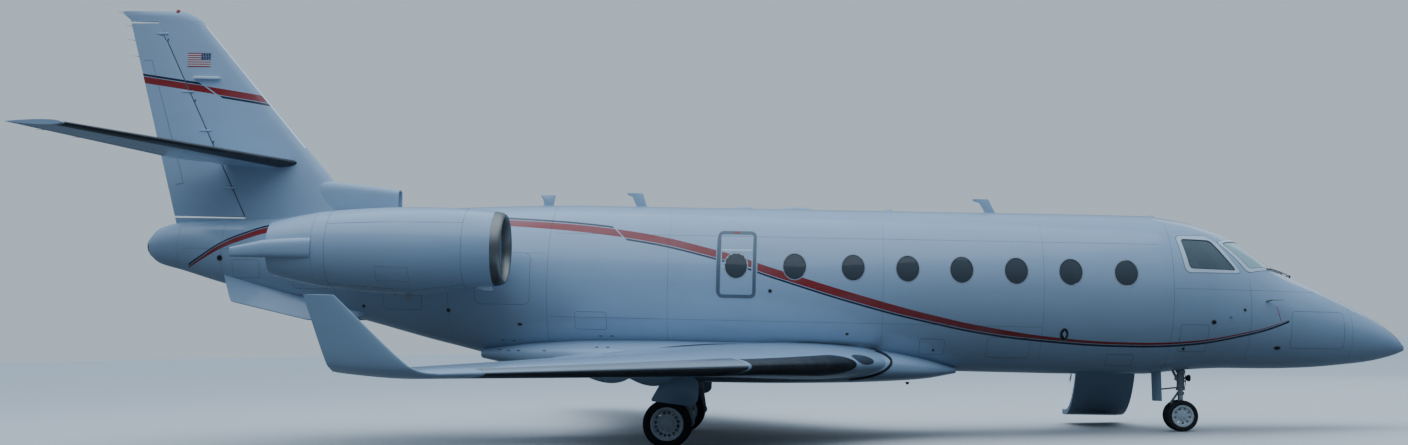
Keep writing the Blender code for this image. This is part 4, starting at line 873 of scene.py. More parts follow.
panes = hull_shell(COCKPIT_X - 0.1, CABIN_END_X + 0.1, wall=0.020, lift=-0.007)
ovals = window_cutters([h - PANE_GAP for h in WINDOW_HALF])
PANES = piece("cabin_panes", cut(panes, ovals, "INTERSECT"), CABIN_GLASS,
              stands_for=("cabin_windows_right", "cabin_windows_left"), crease=25)
print("cabin skin faces:", len(CABIN_SKIN.data.polygons), "panes:", len(PANES.data.polygons))

# %% [markdown]
# The cockpit's windows are cut along their own directions, since the windscreen looks forward and
# the side window looks out. The two side windows and the two windscreen panes are pieces of one
# thin shell again.

# %% Cockpit shell
# Corners of the starboard windshield pane and of the side window, in x, y and z.
WINDSHIELD = [(7.690, -0.025, 2.550), (7.020, -0.690, 2.585), (6.720, -0.560, 2.985), (7.050, -0.025, 2.960)]
SIDE_WINDOW = [(6.825, -0.95, 2.597), (6.149, -0.95, 2.583), (6.068, -0.80, 3.011), (6.505, -0.80, 3.020)]
WINDSHIELD_WAY = Vector((0.28, -0.12, 0.26))
SIDE_WAY = Vector((0, -0.40, 0.05))
PANE_CORNER = 0.055


def soft_corners(points, radius, steps=6):
    """A closed outline of 3-D corners with each corner rounded."""
    points = [Vector(p) for p in points]
    out = []
    for index, corner in enumerate(points):
        before = (points[index - 1] - corner).normalized() * radius
        after = (points[(index + 1) % len(points)] - corner).normalized() * radius
        for i in range(steps + 1):
            t = i / steps
            out.append(corner + before * (1 - t)**2 + after * t**2)
    return out


def pane_cutter(corners, way, side, grow=0.0):
    """A prism of a pane's outline along its own direction, on one side of the aeroplane."""
    middle = sum((Vector(c) for c in corners), Vector()) / len(corners)
    outline = soft_corners(corners, PANE_CORNER)
    outline = [p + (p - middle).normalized() * grow for p in outline]
    turned = [Vector((p.x, p.y * -side, p.z)) for p in outline]
    way = Vector((way.x, way.y * -side, way.z))
    return sweep([[p - way * 0.5 for p in turned], [p + way for p in turned]])


FRONT_PANES, SIDE_PANES = (WINDSHIELD, WINDSHIELD_WAY), (SIDE_WINDOW, SIDE_WAY)


def cockpit_cutters(grow, panes=(FRONT_PANES, SIDE_PANES)):
    """The prisms of the panes on both sides."""
    bm = bmesh.new()
    for side in SIDES.values():
        for outline, way in panes:
            merge_in(bm, pane_cutter(outline, way, side, grow))
    return bm


cockpit = cut(hull_shell(RADOME_X - SEAM, COCKPIT_X + SEAM, wall=0.03), cockpit_cutters(0.0))
COCKPIT_SKIN = piece("cockpit_skin", cockpit, BODY_PAINT, stands_for="cockpit_shell", crease=25)
for name, node, panes, finish in (("front_panes", "windshield", FRONT_PANES, FRONT_GLASS),
                                  ("side_panes", "side_window", SIDE_PANES, COCKPIT_GLASS)):
    glass = hull_shell(8.0, COCKPIT_X + 0.03, wall=0.018, lift=-0.004)
    piece(name, cut(glass, cockpit_cutters(-PANE_GAP, (panes,)), "INTERSECT"), finish,
          stands_for=[f"{node}_{word}" for word in SIDES], crease=25)
print("cockpit skin faces:", len(COCKPIT_SKIN.data.polygons))

# %% [markdown]
# The nose, the rear fuselage and the tail cone have no openings. The nose and the tail come to a
# small end, which is closed with a face.

# %% Nose, rear fuselage and tail
nose_rings = hull_rings(HULL[0][0] - 0.0005, RADOME_X + SEAM, step=0.05)
NOSE_SKIN = piece("radome_skin", sweep(nose_rings), BODY_PAINT, stands_for="radome")
rear = hull_shell(CABIN_END_X - SEAM, TAIL_CONE_X + SEAM, wall=0.02)
REAR_SKIN = piece("rear_skin", rear, BODY_PAINT, stands_for="aft_body")
tail_rings = hull_rings(TAIL_CONE_X - SEAM, HULL[-1][0], step=0.03)
TAIL_SKIN = piece("tail_skin", sweep(tail_rings), BODY_PAINT, stands_for="tail_cone")
print("hull pieces:", [o.name for o in (NOSE_SKIN, COCKPIT_SKIN, CABIN_SKIN, REAR_SKIN, TAIL_SKIN)])

# %% [markdown]
# A turned part needs only its outline. The outline's few points are joined by a curve that passes
# through each of them, and the spin operator carries it round the engine's axis. The lip, the cowl,
# the rear cowl and the core are all made this way.

# %% Engine outlines
ENGINE_Y, ENGINE_Z = 1.90, 2.585
# Outlines turned about the engine's axis: station and radius.
LIP_PROFILE = [(-3.500, 0.564), (-3.450, 0.554), (-3.395, 0.536), (-3.364, 0.505), (-3.385, 0.474),
               (-3.440, 0.453), (-3.500, 0.445)]
COWL_PROFILE = [(-3.503, 0.564), (-3.650, 0.577), (-3.950, 0.597), (-4.400, 0.605), (-4.950, 0.597),
                (-5.500, 0.561), (-5.949, 0.516)]
DUCT_PROFILE = [(-5.949, 0.475), (-5.000, 0.490), (-4.500, 0.480), (-4.100, 0.465), (-3.700, 0.447),
                (-3.503, 0.445)]
INLET_RISE, INLET_SHRINK = 0.050, 0.085
REAR_PROFILE = [(-5.9520, 0.5155), (-6.250, 0.459), (-6.450, 0.415), (-6.620, 0.371)]
NOZZLE_PROFILE = [(-6.620, 0.348), (-6.450, 0.372), (-6.250, 0.405), (-5.9520, 0.445)]
CORE_PROFILE = [(-4.290, 0.0), (-4.292, 0.060), (-4.310, 0.285), (-4.420, 0.300), (-5.600, 0.300),
                (-5.800, 0.275), (-6.150, 0.190), (-6.450, 0.060), (-6.480, 0.0)]
# The scoop's sections: station, near and far side, foot and top, from the engine's axis.
COWL_SCOOP = [(-5.9520, 0.400, 0.535, -0.155, 0.145), (-6.280, 0.370, 0.522, -0.153, 0.125),
              (-6.620, 0.330, 0.505, -0.150, 0.100), (-6.850, 0.380, 0.490, -0.148, 0.045),
              (-7.080, 0.420, 0.470, -0.145, -0.010)]
FAN_BLADES, FAN_X, FAN_ROOT, FAN_TIP = 22, -4.20, 0.120, 0.452
SPIN_STEPS = 112
TIP_START, TIP_REACH = -4.65, 1.15


def through(points, steps=6):
    """A finer row of points on a curve that passes through the given ones."""
    points = [Vector(p) for p in points]
    out = []
    for i in range(len(points) - 1):
        before = points[i - 1] if i else points[0] * 2 - points[1]
        after = points[i + 2] if i + 2 < len(points) else points[-1] * 2 - points[-2]
        p1, p2 = points[i], points[i + 1]
        for k in range(steps):
            t = k / steps
            a = (p1 * 3 - p2 * 3 + after - before) * t**3
            b = (before * 2 - p1 * 5 + p2 * 4 - after) * t**2
            out.append((a + b + (p2 - before) * t + p1 * 2) * 0.5)
    out.append(points[-1])
    return out


def fine(points, steps):
    """A smooth row of pairs through the given ones."""
    return [(p.x, p.y) for p in through([(a, b, 0) for a, b in points], steps)]


def smooth(t):
    """An even rise from 0 to 1."""
    t = max(0.0, min(1.0, t))
    return t * t * (3 - 2 * t)


def tipped(bm):
    """Raise and narrow the front of a nacelle, as its inlet looks up a little."""
    for v in bm.verts:
        out, high = abs(v.co.y) - ENGINE_Y, v.co.z - ENGINE_Z
        reach, start = (TIP_REACH, TIP_START) if hypot(out, high) > 0.51 else (0.40, -3.90)
        share = smooth((v.co.x - start) / reach)
        grow = 1 - INLET_SHRINK * share
        v.co.y = (ENGINE_Y + out * grow) * (1 if v.co.y > 0 else -1)
        v.co.z = ENGINE_Z + high * grow + INLET_RISE * share
    return bm


def scoop_rings(side):
    """Rounded sections of the fairing on the outer side of a rear cowl."""
    rings = []
    for x, near, far, low, high in COWL_SCOOP:
        middle, reach = (low + high) / 2, (high - low) / 2
        ring = [(near, low)]
        for a in spread(-pi / 2, pi / 2, 12):
            tall = middle + reach * (1 if sin(a) > 0 else -1) * abs(sin(a))**0.75
            ring.append((near + (far - near) * abs(cos(a))**0.45, tall))
        ring.append((near, high))
        rings.append([Vector((x, side * (ENGINE_Y + y), ENGINE_Z + z)) for y, z in ring])
    return rings


print("outline points of a nacelle:", len(through(LIP_PROFILE) + through(COWL_PROFILE)))

# %% [markdown]
# A fan blade is a thin aerofoil that twists from its root to its tip. One blade is swept from a few
# sections, and copies of it are turned about the engine's axis.

# %% Fan
def fan_mesh(centre):
    """A spinner and twisted blades, each a thin aerofoil that grows thinner to its tip."""
    nose = through([(-4.000, 0.0), (-4.010, 0.025), (-4.045, 0.062), (-4.110, 0.108), (-4.200, 0.135),
                    (-4.275, 0.140)], 4)
    bm = spun([*nose, Vector((-4.275, 0.0))], centre, 48)
    for blade in range(FAN_BLADES):
        rings = []
        for k in range(7):
            share = k / 6
            radius = FAN_ROOT + (FAN_TIP - FAN_ROOT) * share
            twist = radians(28 + 34 * share)
            chord = 0.125 - 0.012 * share + 0.035 * sin(pi * share)
            thick = 0.012 - 0.008 * share
            ring = []
            for i in range(12):
                a = 2 * pi * i / 12
                along, high = chord / 2 * cos(a), thick / 2 * sin(a)
                bow = 0.012 * (1 - (2 * along / chord)**2)
                x = along * cos(twist) - (high + bow) * sin(twist)
                turn = along * sin(twist) + (high + bow) * cos(twist)
                ring.append(Vector((FAN_X + x + 0.012, turn, radius)))
            rings.append(ring)
        spin = Matrix.Translation(centre) @ Matrix.Rotation(2 * pi * blade / FAN_BLADES, 4, "X")
        merge_in(bm, sweep(rings), spin)
    return bm


print("fan blades:", FAN_BLADES)

# %% [markdown]
# Wings, tail, fin and pylons share one aerofoil section: a formula gives its half thickness along the
# chord. A fixed surface can end in a hollow round its hinge, and the moving one behind it starts with
# a round nose about the same line.

# %% Aerofoil sections
FOIL_STEPS = [0.0, 0.0015, 0.005, 0.011, 0.020, 0.034, 0.054, 0.083, 0.125, 0.18, 0.25, 0.34, 0.44, 0.55]


def half_thickness(fraction, ratio):
    """Half the thickness of the section over its chord, with a slightly blunt trailing edge."""
    f = max(0.0, min(1.0, fraction))
    curve = 0.2969 * sqrt(f) - 0.1260 * f - 0.3516 * f**2 + 0.2843 * f**3 - 0.1036 * f**4
    return 5 * ratio * curve + 0.0020 * f


def foil(chord, ratio, hinge=None, clearance=0.0):
    """Section of a fixed surface: to the trailing edge, or to a hollow round the hinge."""
    if hinge is None:
        edge = half_thickness(1.0, ratio)
        steps = FOIL_STEPS + [0.66, 0.78, 0.90, 1.0]
        back = [(1.0, edge * 0.5), (1.0, -edge * 0.5)]
    else:
        reach = half_thickness(hinge, ratio) + clearance / chord
        ends = [hinge - 0.1 + 0.1 * i / 400 for i in range(401)]
        end = min(ends, key=lambda f: abs(hypot(hinge - f, half_thickness(f, ratio)) - reach))
        spread = atan2(half_thickness(end, ratio), hinge - end)
        shares = [1 - 2 * (i + 1) / 9 for i in range(8)]
        back = [(hinge - reach * cos(s * spread), reach * sin(s * spread)) for s in shares]
        steps = FOIL_STEPS + [(FOIL_STEPS[-1] + end) / 2, end]
    upper = [(f, half_thickness(f, ratio)) for f in steps]
    lower = [(f, -half_thickness(f, ratio)) for f in reversed(steps[1:])]
    return [(f * chord, h * chord) for f, h in upper + back + lower]


def moving_foil(chord, ratio, hinge):
    """Section of a hinged surface: a round nose about the hinge, then back to the edge."""
    nose = half_thickness(hinge, ratio)
    arc = [(hinge + nose * cos(a), nose * sin(a)) for a in (pi / 2 + pi * i / 12 for i in range(13))]
    steps = [hinge + (1 - hinge) * s for s in (0.33, 0.66, 1.0)]
    lower = [(f, -half_thickness(f, ratio)) for f in steps]
    upper = [(f, half_thickness(f, ratio)) for f in reversed(steps)]
    return [(f * chord, h * chord) for f, h in arc + lower + upper]


print("section points:", len(foil(1.0, 0.1)))

# %% [markdown]
# The nacelle's lip, cowl and rear cowl are turned from their outlines, and the first two are then
# tipped. A pylon, an upright slab with a round nose and a sharp tail, carries each engine.

# %% Engines
TURNED = [("lip", "inlet_lip", through(LIP_PROFILE), LIP_METAL),
          ("cowl", "nacelle", through(COWL_PROFILE) + through(DUCT_PROFILE), PLAIN_PAINT),
          ("rear_cowl_skin", "rear_cowl", through(REAR_PROFILE) + through(NOZZLE_PROFILE), PLAIN_PAINT)]
# The pylon's sections: span, leading edge and chord.
PYLON = [(0.60, -3.95, 2.15), (1.10, -4.00, 2.08), (1.55, -4.05, 2.00)]
for word, side in SIDES.items():
    centre = Vector((0, side * ENGINE_Y, ENGINE_Z))
    for name, node, outline, finish in TURNED:
        shell = spun(outline + outline[:1], centre, SPIN_STEPS)
        shell = shell if node == "rear_cowl" else tipped(shell)
        piece(f"{name}_{word}", shell, finish, stands_for=f"{node}_{word}")
    piece(f"cowl_scoop_{word}", sweep(scoop_rings(side)), PLAIN_PAINT)
    piece(f"engine_core_{word}", spun(through(CORE_PROFILE, 4), centre, 72), HOT_METAL,
          stands_for=f"engine_{word}")
    piece(f"fan_blades_{word}", fan_mesh(centre), BLADE_METAL, body=f"fan_rotor_{word}",
          stands_for=f"fan_{word}")
    rings = [[Vector((lead - along, side * y, ENGINE_Z + high)) for along, high in foil(chord, 0.085)]
             for y, lead, chord in PYLON]
    piece(f"pylon_skin_{word}", sweep(rings), PLAIN_PAINT, stands_for=f"pylon_{word}")

# %% [markdown]
# A wing is a section pulled along its span. The fixed part ends in a hollow just ahead of the hinge
# and each moving surface has a round nose about the same line, so it can turn without a gap opening.
# The rubber boot on the leading edge is a thin strip of the same section, lifted by its thickness.
# Below the nose its black reaches further back as painted shade of the underside, and outboard a
# black strip under the polished slat is painted shade too.

# %% Wings
# Sections: span, height, leading edge, chord, thickness share and lean in degrees.
WING = [(0.900, 1.160, 2.130, 4.830, 0.108, 0.0), (3.200, 1.160, 0.625, 3.200, 0.100, 0.0),
        (8.450, 1.140, -2.800, 1.000, 0.095, 0.0)]
WINGLET = [(8.4504, 1.140, -2.800, 1.000, 0.095, 0.0), (8.620, 1.175, -2.960, 0.850, 0.090, 35.0),
           (8.730, 1.300, -3.130, 0.720, 0.085, 68.0), (8.830, 1.880, -3.740, 0.300, 0.080, 80.0)]
FLAP_Y, AILERON_Y = (1.500, 5.550), (5.600, 8.100)
WING_HINGE, ELEVATOR_HINGE, FIN_HINGE = 0.745, 0.66, 0.63
RUNNING, END_GAP, SKIN_GAP = 0.006, 0.026, 0.0004
STEP = 0.0005
BOOT_LIFT = 0.0015
BOOT_Y, SLAT_Y, BOOT_ROUND = (1.90, 4.00), (4.06, 7.92), 0.30
# Strips along the outer leading edge: how far each goes above and below the nose. The slat is polished metal;
# the black strip below it is painted shade of the wing's underside.
SLAT_STRIPS = [("slat", 0.28, 0.02, POLISHED), ("slat_underside_shade", 0.018, 0.36, BOOT_RUBBER_AND_SHADE)]


def between(table, s):
    """A row of a table read at s, on straight lines. The thickness too changes evenly."""
    for low, high in zip(table, table[1:]):
        if low[0] <= s <= high[0]:
            t = (s - low[0]) / (high[0] - low[0])
            row = [a + (b - a) * t for a, b in zip(low, high)]
            chord = min(3, len(row) - 2)
            thick = low[chord] * low[chord + 1] * (1 - t) + high[chord] * high[chord + 1] * t
            row[chord + 1] = thick / row[chord]
            return tuple(row)
    return table[0] if s < table[0][0] else table[-1]


def wing_ring(row, outline, side):
    """Place a section of the wing or winglet, canted about its chord."""
    y, z, lead, _chord, _ratio, cant = row
    tilt = radians(cant)
    return [Vector((lead - along, side * (y - high * sin(tilt)), z + high * cos(tilt)))
            for along, high in outline]


def boot_outline(chord, ratio, above, below, lift=BOOT_LIFT):
    """A thin strip of the section wrapped round its nose, between two shares of the chord's root."""
    outer, inner = [], []
    for s in spread(above, -below, 24):
        spots = [Vector((t * t, half_thickness(t * t, ratio) * (1 if t >= 0 else -1)))
                 for t in (s + 0.004, s, s - 0.004)]
        way = (spots[2] - spots[0]).normalized()
        outer.append(spots[1] * chord + Vector((way.y, -way.x)) * lift)
        inner.append(spots[1] * chord - Vector((way.y, -way.x)) * 0.002)
    return [tuple(p) for p in outer + inner[::-1]]


def split_surface(plan, table, place, chord, ratio, hinge):
    """A fixed surface from its plan of (span, clearance), in runs of equal sections."""
    runs = []
    for s, clearance in plan:
        row = between(table, s)
        whole = clearance is None
        outline = foil(row[chord], row[ratio]) if whole else foil(row[chord], row[ratio], hinge, clearance)
        if not runs or runs[-1][0] != whole:
            runs.append((whole, []))
        runs[-1][1].append(place(row, outline))
    bm = bmesh.new()
    for _whole, rings in runs:
        if len(rings) > 1:
            merge_in(bm, sweep(rings))
    return bm


def wing_plan():
    """Sections of the fixed wing, with a hollow where a moving surface sits."""
    return [(WING[0][0], SKIN_GAP), (WING[1][0], SKIN_GAP), (AILERON_Y[0] - RUNNING - STEP, SKIN_GAP),
            (AILERON_Y[0] - RUNNING, RUNNING), (AILERON_Y[1] + END_GAP, RUNNING),
            (AILERON_Y[1] + END_GAP + STEP, None), (WING[2][0], None)]


for word, side in SIDES.items():
    wing = split_surface(wing_plan(), WING, lambda row, outline: wing_ring(row, outline, side), 3, 4,
                         WING_HINGE)
    piece(f"wing_skin_{word}", wing, PLAIN_PAINT, stands_for=f"wing_{word}")
    tips = [tuple(r) for r in through(WINGLET, 6)]
    winglet = [wing_ring(row, foil(row[3], row[4]), side) for row in tips]
    piece(f"winglet_skin_{word}", sweep(winglet), PLAIN_PAINT, stands_for=f"winglet_{word}")
    flap = [wing_ring(r, moving_foil(r[3], r[4], WING_HINGE), side)
            for r in (between(WING, y) for y in (FLAP_Y[0], WING[1][0], FLAP_Y[1]))]
    piece(f"flap_skin_{word}", sweep(flap), PLAIN_PAINT, stands_for=f"flap_{word}")
    aileron = [wing_ring(r, moving_foil(r[3], r[4], WING_HINGE), side)
               for r in (between(WING, y) for y in AILERON_Y)]
    piece(f"aileron_skin_{word}", sweep(aileron), PLAIN_PAINT,
          body=f"aileron_surface_{word}", stands_for=f"aileron_{word}")
    # The boot: black rubber round the nose, with its lower part reaching further back as painted shade of the
    # wing's underside.
    rings = []
    for y in [BOOT_Y[0] + BOOT_ROUND * (i / 10)**2 for i in range(11)] + [WING[1][0], BOOT_Y[1]]:
        row = between(WING, y)
        full = sqrt(1 - (1 - min(1.0, (y - BOOT_Y[0]) / BOOT_ROUND))**2) * 0.9 + 0.1
        rings.append(wing_ring(row, boot_outline(row[3], row[4], 0.235 * full, 0.30 * full), side))
    piece(f"wing_boot_and_shade_{word}", sweep(rings), BOOT_RUBBER_AND_SHADE)
    for name, above, below, finish in SLAT_STRIPS:
        rings = [wing_ring(row, boot_outline(row[3], row[4], above, below), side)
                 for row in (between(WING, y) for y in SLAT_Y)]
        piece(f"wing_{name}_{word}", sweep(rings), finish)
print("wing span", round(2 * WINGLET[-1][0], 2), "m")

# %% [markdown]
# The tail is made the same way as the wing. The fin stands on the fuselage with a small cap that runs
# back past the rudder, and the tailplane crosses it a third of the way up. The tailplane has
# boots, whose black reaches back under the nose as painted shade of the underside, and the fin a
# polished edge.

# %% Fin and rudder
# Sections of the fin: height, leading edge, chord and thickness share. The tailplane's have the span
# first.
FIN = [(2.950, -5.700, 3.040, 0.100), (6.110, -8.480, 1.120, 0.090)]
FIN_CAP = [(6.110, -8.480, 1.120, 0.090), (6.160, -8.545, 1.112, 0.086), (6.190, -8.600, 1.100, 0.080),
           (6.225, -8.670, 1.040, 0.062), (6.250, -8.740, 0.960, 0.040)]
RUDDER_Z = (3.120, 6.060)
TAILPLANE = [(0.000, 3.940, -6.840, 1.700, 0.095), (3.450, 4.120, -9.000, 0.757, 0.090)]
ELEVATOR_Y = (0.400, 3.250)


def fin_ring(row, outline):
    """A section of the fin at its height."""
    return [Vector((row[1] - along, high, row[0])) for along, high in outline]


def tail_ring(row, outline, side):
    """A section of the tailplane at its span."""
    return [Vector((row[2] - along, side * row[0], row[1] + high)) for along, high in outline]


low_gap, high_gap = RUDDER_Z[0] - END_GAP, RUDDER_Z[1] + END_GAP
fin_plan = [(FIN[0][0], None), (low_gap - STEP, None), (low_gap, RUNNING), (high_gap, RUNNING),
            (high_gap + STEP, None), (FIN[-1][0], None)]
fin = split_surface(fin_plan, FIN, fin_ring, 2, 3, FIN_HINGE)
merge_in(fin, sweep([fin_ring(row, foil(row[2], row[3])) for row in FIN_CAP]))
piece("fin_skin", fin, PLAIN_PAINT, stands_for="fin")
rudder_rows = [between(FIN, z) for z in RUDDER_Z]
rudder = [fin_ring(row, moving_foil(row[2], row[3], FIN_HINGE)) for row in rudder_rows]
piece("rudder_skin", sweep(rudder), PLAIN_PAINT, body="rudder_surface", stands_for="rudder")
EDGE_Z = (4.18, 6.02)
edge = [fin_ring(row, boot_outline(row[2], row[3], 0.12, 0.12)) for row in (between(FIN, z) for z in EDGE_Z)]
piece("fin_edge", sweep(edge), POLISHED)
print("fin height over the ground:", round((PARK @ Vector((-8.7, 0, 6.25))).z, 2), "m")

# %% [markdown]
# The tailplane crosses the fin in one piece. Its elevators stop short of the tips.

# %% Tailplane and elevators
outer = ELEVATOR_Y[1] + END_GAP
tail_skin = bmesh.new()
for side in SIDES.values():
    plan = [(0.0, RUNNING), (outer, RUNNING), (outer + STEP, None), (TAILPLANE[1][0], None)]
    half = split_surface(plan, TAILPLANE, lambda row, outline: tail_ring(row, outline, side), 3, 4,
                         ELEVATOR_HINGE)
    merge_in(tail_skin, half)
piece("tailplane_skin", tail_skin, PLAIN_PAINT, stands_for="tailplane")
for word, side in SIDES.items():
    rows = [between(TAILPLANE, y) for y in ELEVATOR_Y]
    rings = [tail_ring(row, moving_foil(row[3], row[4], ELEVATOR_HINGE), side) for row in rows]
    piece(f"elevator_skin_{word}", sweep(rings), PLAIN_PAINT,
          body=f"elevator_surface_{word}", stands_for=f"elevator_{word}")
    # The boot: black rubber round the nose, reaching far back below it as painted shade of the tailplane's
    # underside.
    rows = [between(TAILPLANE, y) for y in (0.06, 3.40)]
    boot = [tail_ring(row, boot_outline(row[3], row[4], 0.22, 0.40), side) for row in rows]
    piece(f"tail_boot_and_shade_{word}", sweep(boot), BOOT_RUBBER_AND_SHADE)
print("tailplane span", 2 * TAILPLANE[1][0], "m")

# %% [markdown]
# Fairings fill the corners: a long blister round the wing roots, a box with an air inlet at the foot
# of the fin, and a pair of strakes below the tail. The strakes are one outline given a thickness.

# %% Fairings and strakes
# The belly fairing's and the fin inlet's sections: station, half width, top and bottom.
FAIRING = [(2.950, 0.550, 1.120, 1.020), (2.500, 0.950, 1.250, 0.935), (1.900, 1.250, 1.360, 0.885),
           (1.200, 1.400, 1.420, 0.850), (0.000, 1.450, 1.440, 0.820), (-1.000, 1.450, 1.440, 0.815),
           (-2.200, 1.400, 1.420, 0.860), (-3.100, 1.200, 1.360, 0.940), (-3.900, 0.700, 1.250, 1.080)]
FAIRING_POWER = 0.7
INLET = [(-5.330, 0.125, 3.570, 3.220), (-5.600, 0.131, 3.610, 3.212), (-5.900, 0.135, 3.640, 3.200),
         (-6.250, 0.128, 3.672, 3.160), (-6.600, 0.110, 3.700, 3.120)]
# The strake's outline, in x, y and z.
STRAKE = [(-5.615, 0.46, 1.720), (-5.830, 0.50, 1.610), (-6.500, 0.58, 1.600), (-7.695, 0.52, 1.850),
          (-7.892, 0.30, 2.260), (-6.700, 0.30, 2.050)]


def box_ring(x, half, top, bottom, power, sides):
    """A section between a box and an oval."""
    middle, reach = (top + bottom) / 2, (top - bottom) / 2
    ring = []
    for k in range(sides):
        a = 2 * pi * k / sides
        across = abs(cos(a))**power * (1 if cos(a) >= 0 else -1)
        high = abs(sin(a))**power * (1 if sin(a) >= 0 else -1)
        ring.append(Vector((x, half * across, middle + reach * high)))
    return ring


stretch = FAIRING[0][0] - FAIRING[-1][0]
rings = []
for i in range(61):
    x = FAIRING[0][0] - stretch * i / 60
    rings.append(box_ring(x, *(read_smooth(FAIRING, x, c) for c in (1, 2, 3)), FAIRING_POWER, 72))
piece("belly_skin", sweep(rings), PLAIN_PAINT, stands_for="belly_fairing", crease=50)
inlet = sweep([box_ring(*row, 0.6, 48) for row in INLET])
duct = block((-5.58, -0.103, 3.32), (-5.31, 0.103, 3.548), 0.02)
piece("fin_inlet_skin", cut(inlet, duct), PLAIN_PAINT)
for word, side in SIDES.items():
    bm = bmesh.new()
    outline = soft_corners([(x, side * y, z) for x, y, z in STRAKE], 0.05, 4)
    face = bm.faces.new([bm.verts.new(p) for p in outline])
    bmesh.ops.triangulate(bm, faces=[face])
    bmesh.ops.recalc_face_normals(bm, faces=bm.faces)
    bmesh.ops.solidify(bm, geom=bm.faces[:], thickness=0.022)
    piece(f"strake_skin_{word}", bm, PLAIN_PAINT, stands_for=f"strake_{word}")
print("belly fairing", round(stretch, 2), "m long")

# %% [markdown]
# A tyre is one turned outline: bead, bulging side, shoulder, and a tread with three grooves. The
# wheel inside it is turned too, then drilled through with a ring of holes by a Boolean, as the real
# casting is drilled to make it lighter.

# %% Wheels
NOSE_WHEEL = dict(x=6.319, y=0.0, radius=0.225, width=0.112, rim=0.144, half=0.115, holes=9, hole=0.017)
MAIN_WHEEL = dict(x=-1.029, y=1.650, radius=0.335, width=0.168, rim=0.216, half=0.165, holes=16, hole=0.0225)
GROOVES = (-0.34, 0.0, 0.34)
GROOVE_DEPTH, GROOVE_HALF = 0.005, 0.028


def tyre_mesh(wheel, centre):
    """Turned tyre with grooves."""
    w, r, rim = wheel["width"] / 2, wheel["radius"], wheel["rim"]
    wall = r - rim
    side_points = [(-w * 0.72, rim + 0.0006), (-w * 0.84, rim + 0.004), (-w * 0.86, rim + 0.014),
                   (-w * 0.95, rim + wall * 0.28), (-w * 0.99, rim + wall * 0.48),
                   (-w * 0.96, rim + wall * 0.68), (-w * 0.86, rim + wall * 0.86), (-w * 0.68, r - 0.004)]
    left = fine(side_points, 4)
    tread = []
    for g in GROOVES:
        crown = r - 0.0055 * (abs(g) / 0.68)**2 * 1.2
        depth = crown - GROOVE_DEPTH
        for share, height in ((-1.0, crown), (-0.8, depth), (0.8, depth), (1.0, crown)):
            tread.append((w * (g + GROOVE_HALF * share), height))
    right = [(-a, b) for a, b in reversed(left)]
    profile = left + tread + right
    return spun(profile + [profile[0]], centre, 96, (0, 1, 0))


def rim_mesh(wheel, centre, out):
    """Turned and drilled wheel half, its dish on the outer side."""
    w, rim = wheel["width"] / 2, wheel["rim"]
    profile = [(-0.90, rim * 0.88), (-0.90, rim + 0.010), (-0.84, rim + 0.013), (-0.80, rim + 0.002),
               (-0.70, rim - 0.001), (0.70, rim - 0.001), (0.80, rim + 0.002), (0.86, rim + 0.013),
               (0.92, rim + 0.010), (0.90, rim * 0.93), (0.72, rim * 0.89), (0.46, rim * 0.84),
               (0.34, rim * 0.60), (0.44, rim * 0.42), (0.74, rim * 0.36), (0.78, rim * 0.30),
               (0.78, 0.004), (0.10, 0.004), (0.10, rim * 0.62), (-0.20, rim * 0.84), (-0.90, rim * 0.88)]
    bm = spun([(a * w * out, b) for a, b in profile], centre, 96, (0, 1, 0))
    drills = bmesh.new()
    through_rim = Vector((0, w * 1.2, 0))
    for i in range(wheel["holes"]):
        a = 2 * pi * (i + 0.5) / wheel["holes"]
        spot = centre + Vector((sin(a), 0, cos(a))) * rim * 0.72
        merge_in(drills, rod(spot - through_rim, spot + through_rim, wheel["hole"], 20))
    bm = cut(bm, drills)
    for i in range(8):
        a = 2 * pi * i / 8
        spot = centre + Vector((sin(a), 0, cos(a))) * rim * 0.47
        face = Vector((0, out * w * 0.52, 0))
        merge_in(bm, rod(spot + face * 0.6, spot + face * 1.15, rim * 0.045, 6))
    cap = Vector((0, out * w, 0))
    merge_in(bm, rod(centre + cap * 0.7, centre + cap * 0.93, rim * 0.24, 32, rim * 0.19, 0.003))
    return bm


def wheel_pair(name, wheel, side, body, hubs, tyres):
    """Both wheels of an axle, which turn as one body."""
    centre = Vector((wheel["x"], side * wheel["y"], wheel["radius"]))
    hub = bmesh.new()
    for out, node in ((-1, tyres[0]), (1, tyres[1])):
        middle = centre + Vector((0, out * wheel["half"], 0))
        piece(f"{node}_rubber", tyre_mesh(wheel, middle), TYRE_RUBBER, body=body, stands_for=node,
              parked=False, crease=28)
        merge_in(hub, rim_mesh(wheel, middle, out))
    reach = Vector((0, wheel["half"], 0))
    merge_in(hub, rod(centre - reach, centre + reach, 0.034, 32))
    piece(f"{name}_rims", hub, RIM_METAL, body=body, stands_for=hubs, parked=False, crease=28)


wheel_pair("nose", NOSE_WHEEL, 1, "nose_wheels", "nose_hubs", ("nose_tyre_right", "nose_tyre_left"))
for word, side in SIDES.items():
    tyres = (f"main_{word}_tyre_right", f"main_{word}_tyre_left")
    wheel_pair(f"main_{word}", MAIN_WHEEL, side, f"main_wheels_{word}", f"main_{word}_hubs", tyres)
print("wheels:", 6)

# %% [markdown]
# The nose leg is a painted cylinder with a polished piston below it, kept in line by a folding torque
# link. Bars and bent tubes make the rest: the drag brace behind, the taxi lamp, the towing eye and
# the hydraulic lines. The lower half turns with the steering.

# %% Nose gear
def on_ground(x, y, z):
    """A point given over the floor, in the aeroplane's level axes."""
    return PARK.inverted() @ Vector((x, y, z))


def fittings(shapes):
    """Several shapes as one mesh."""
    bm = bmesh.new()
    for shape in shapes:
        merge_in(bm, shape)
    return bm


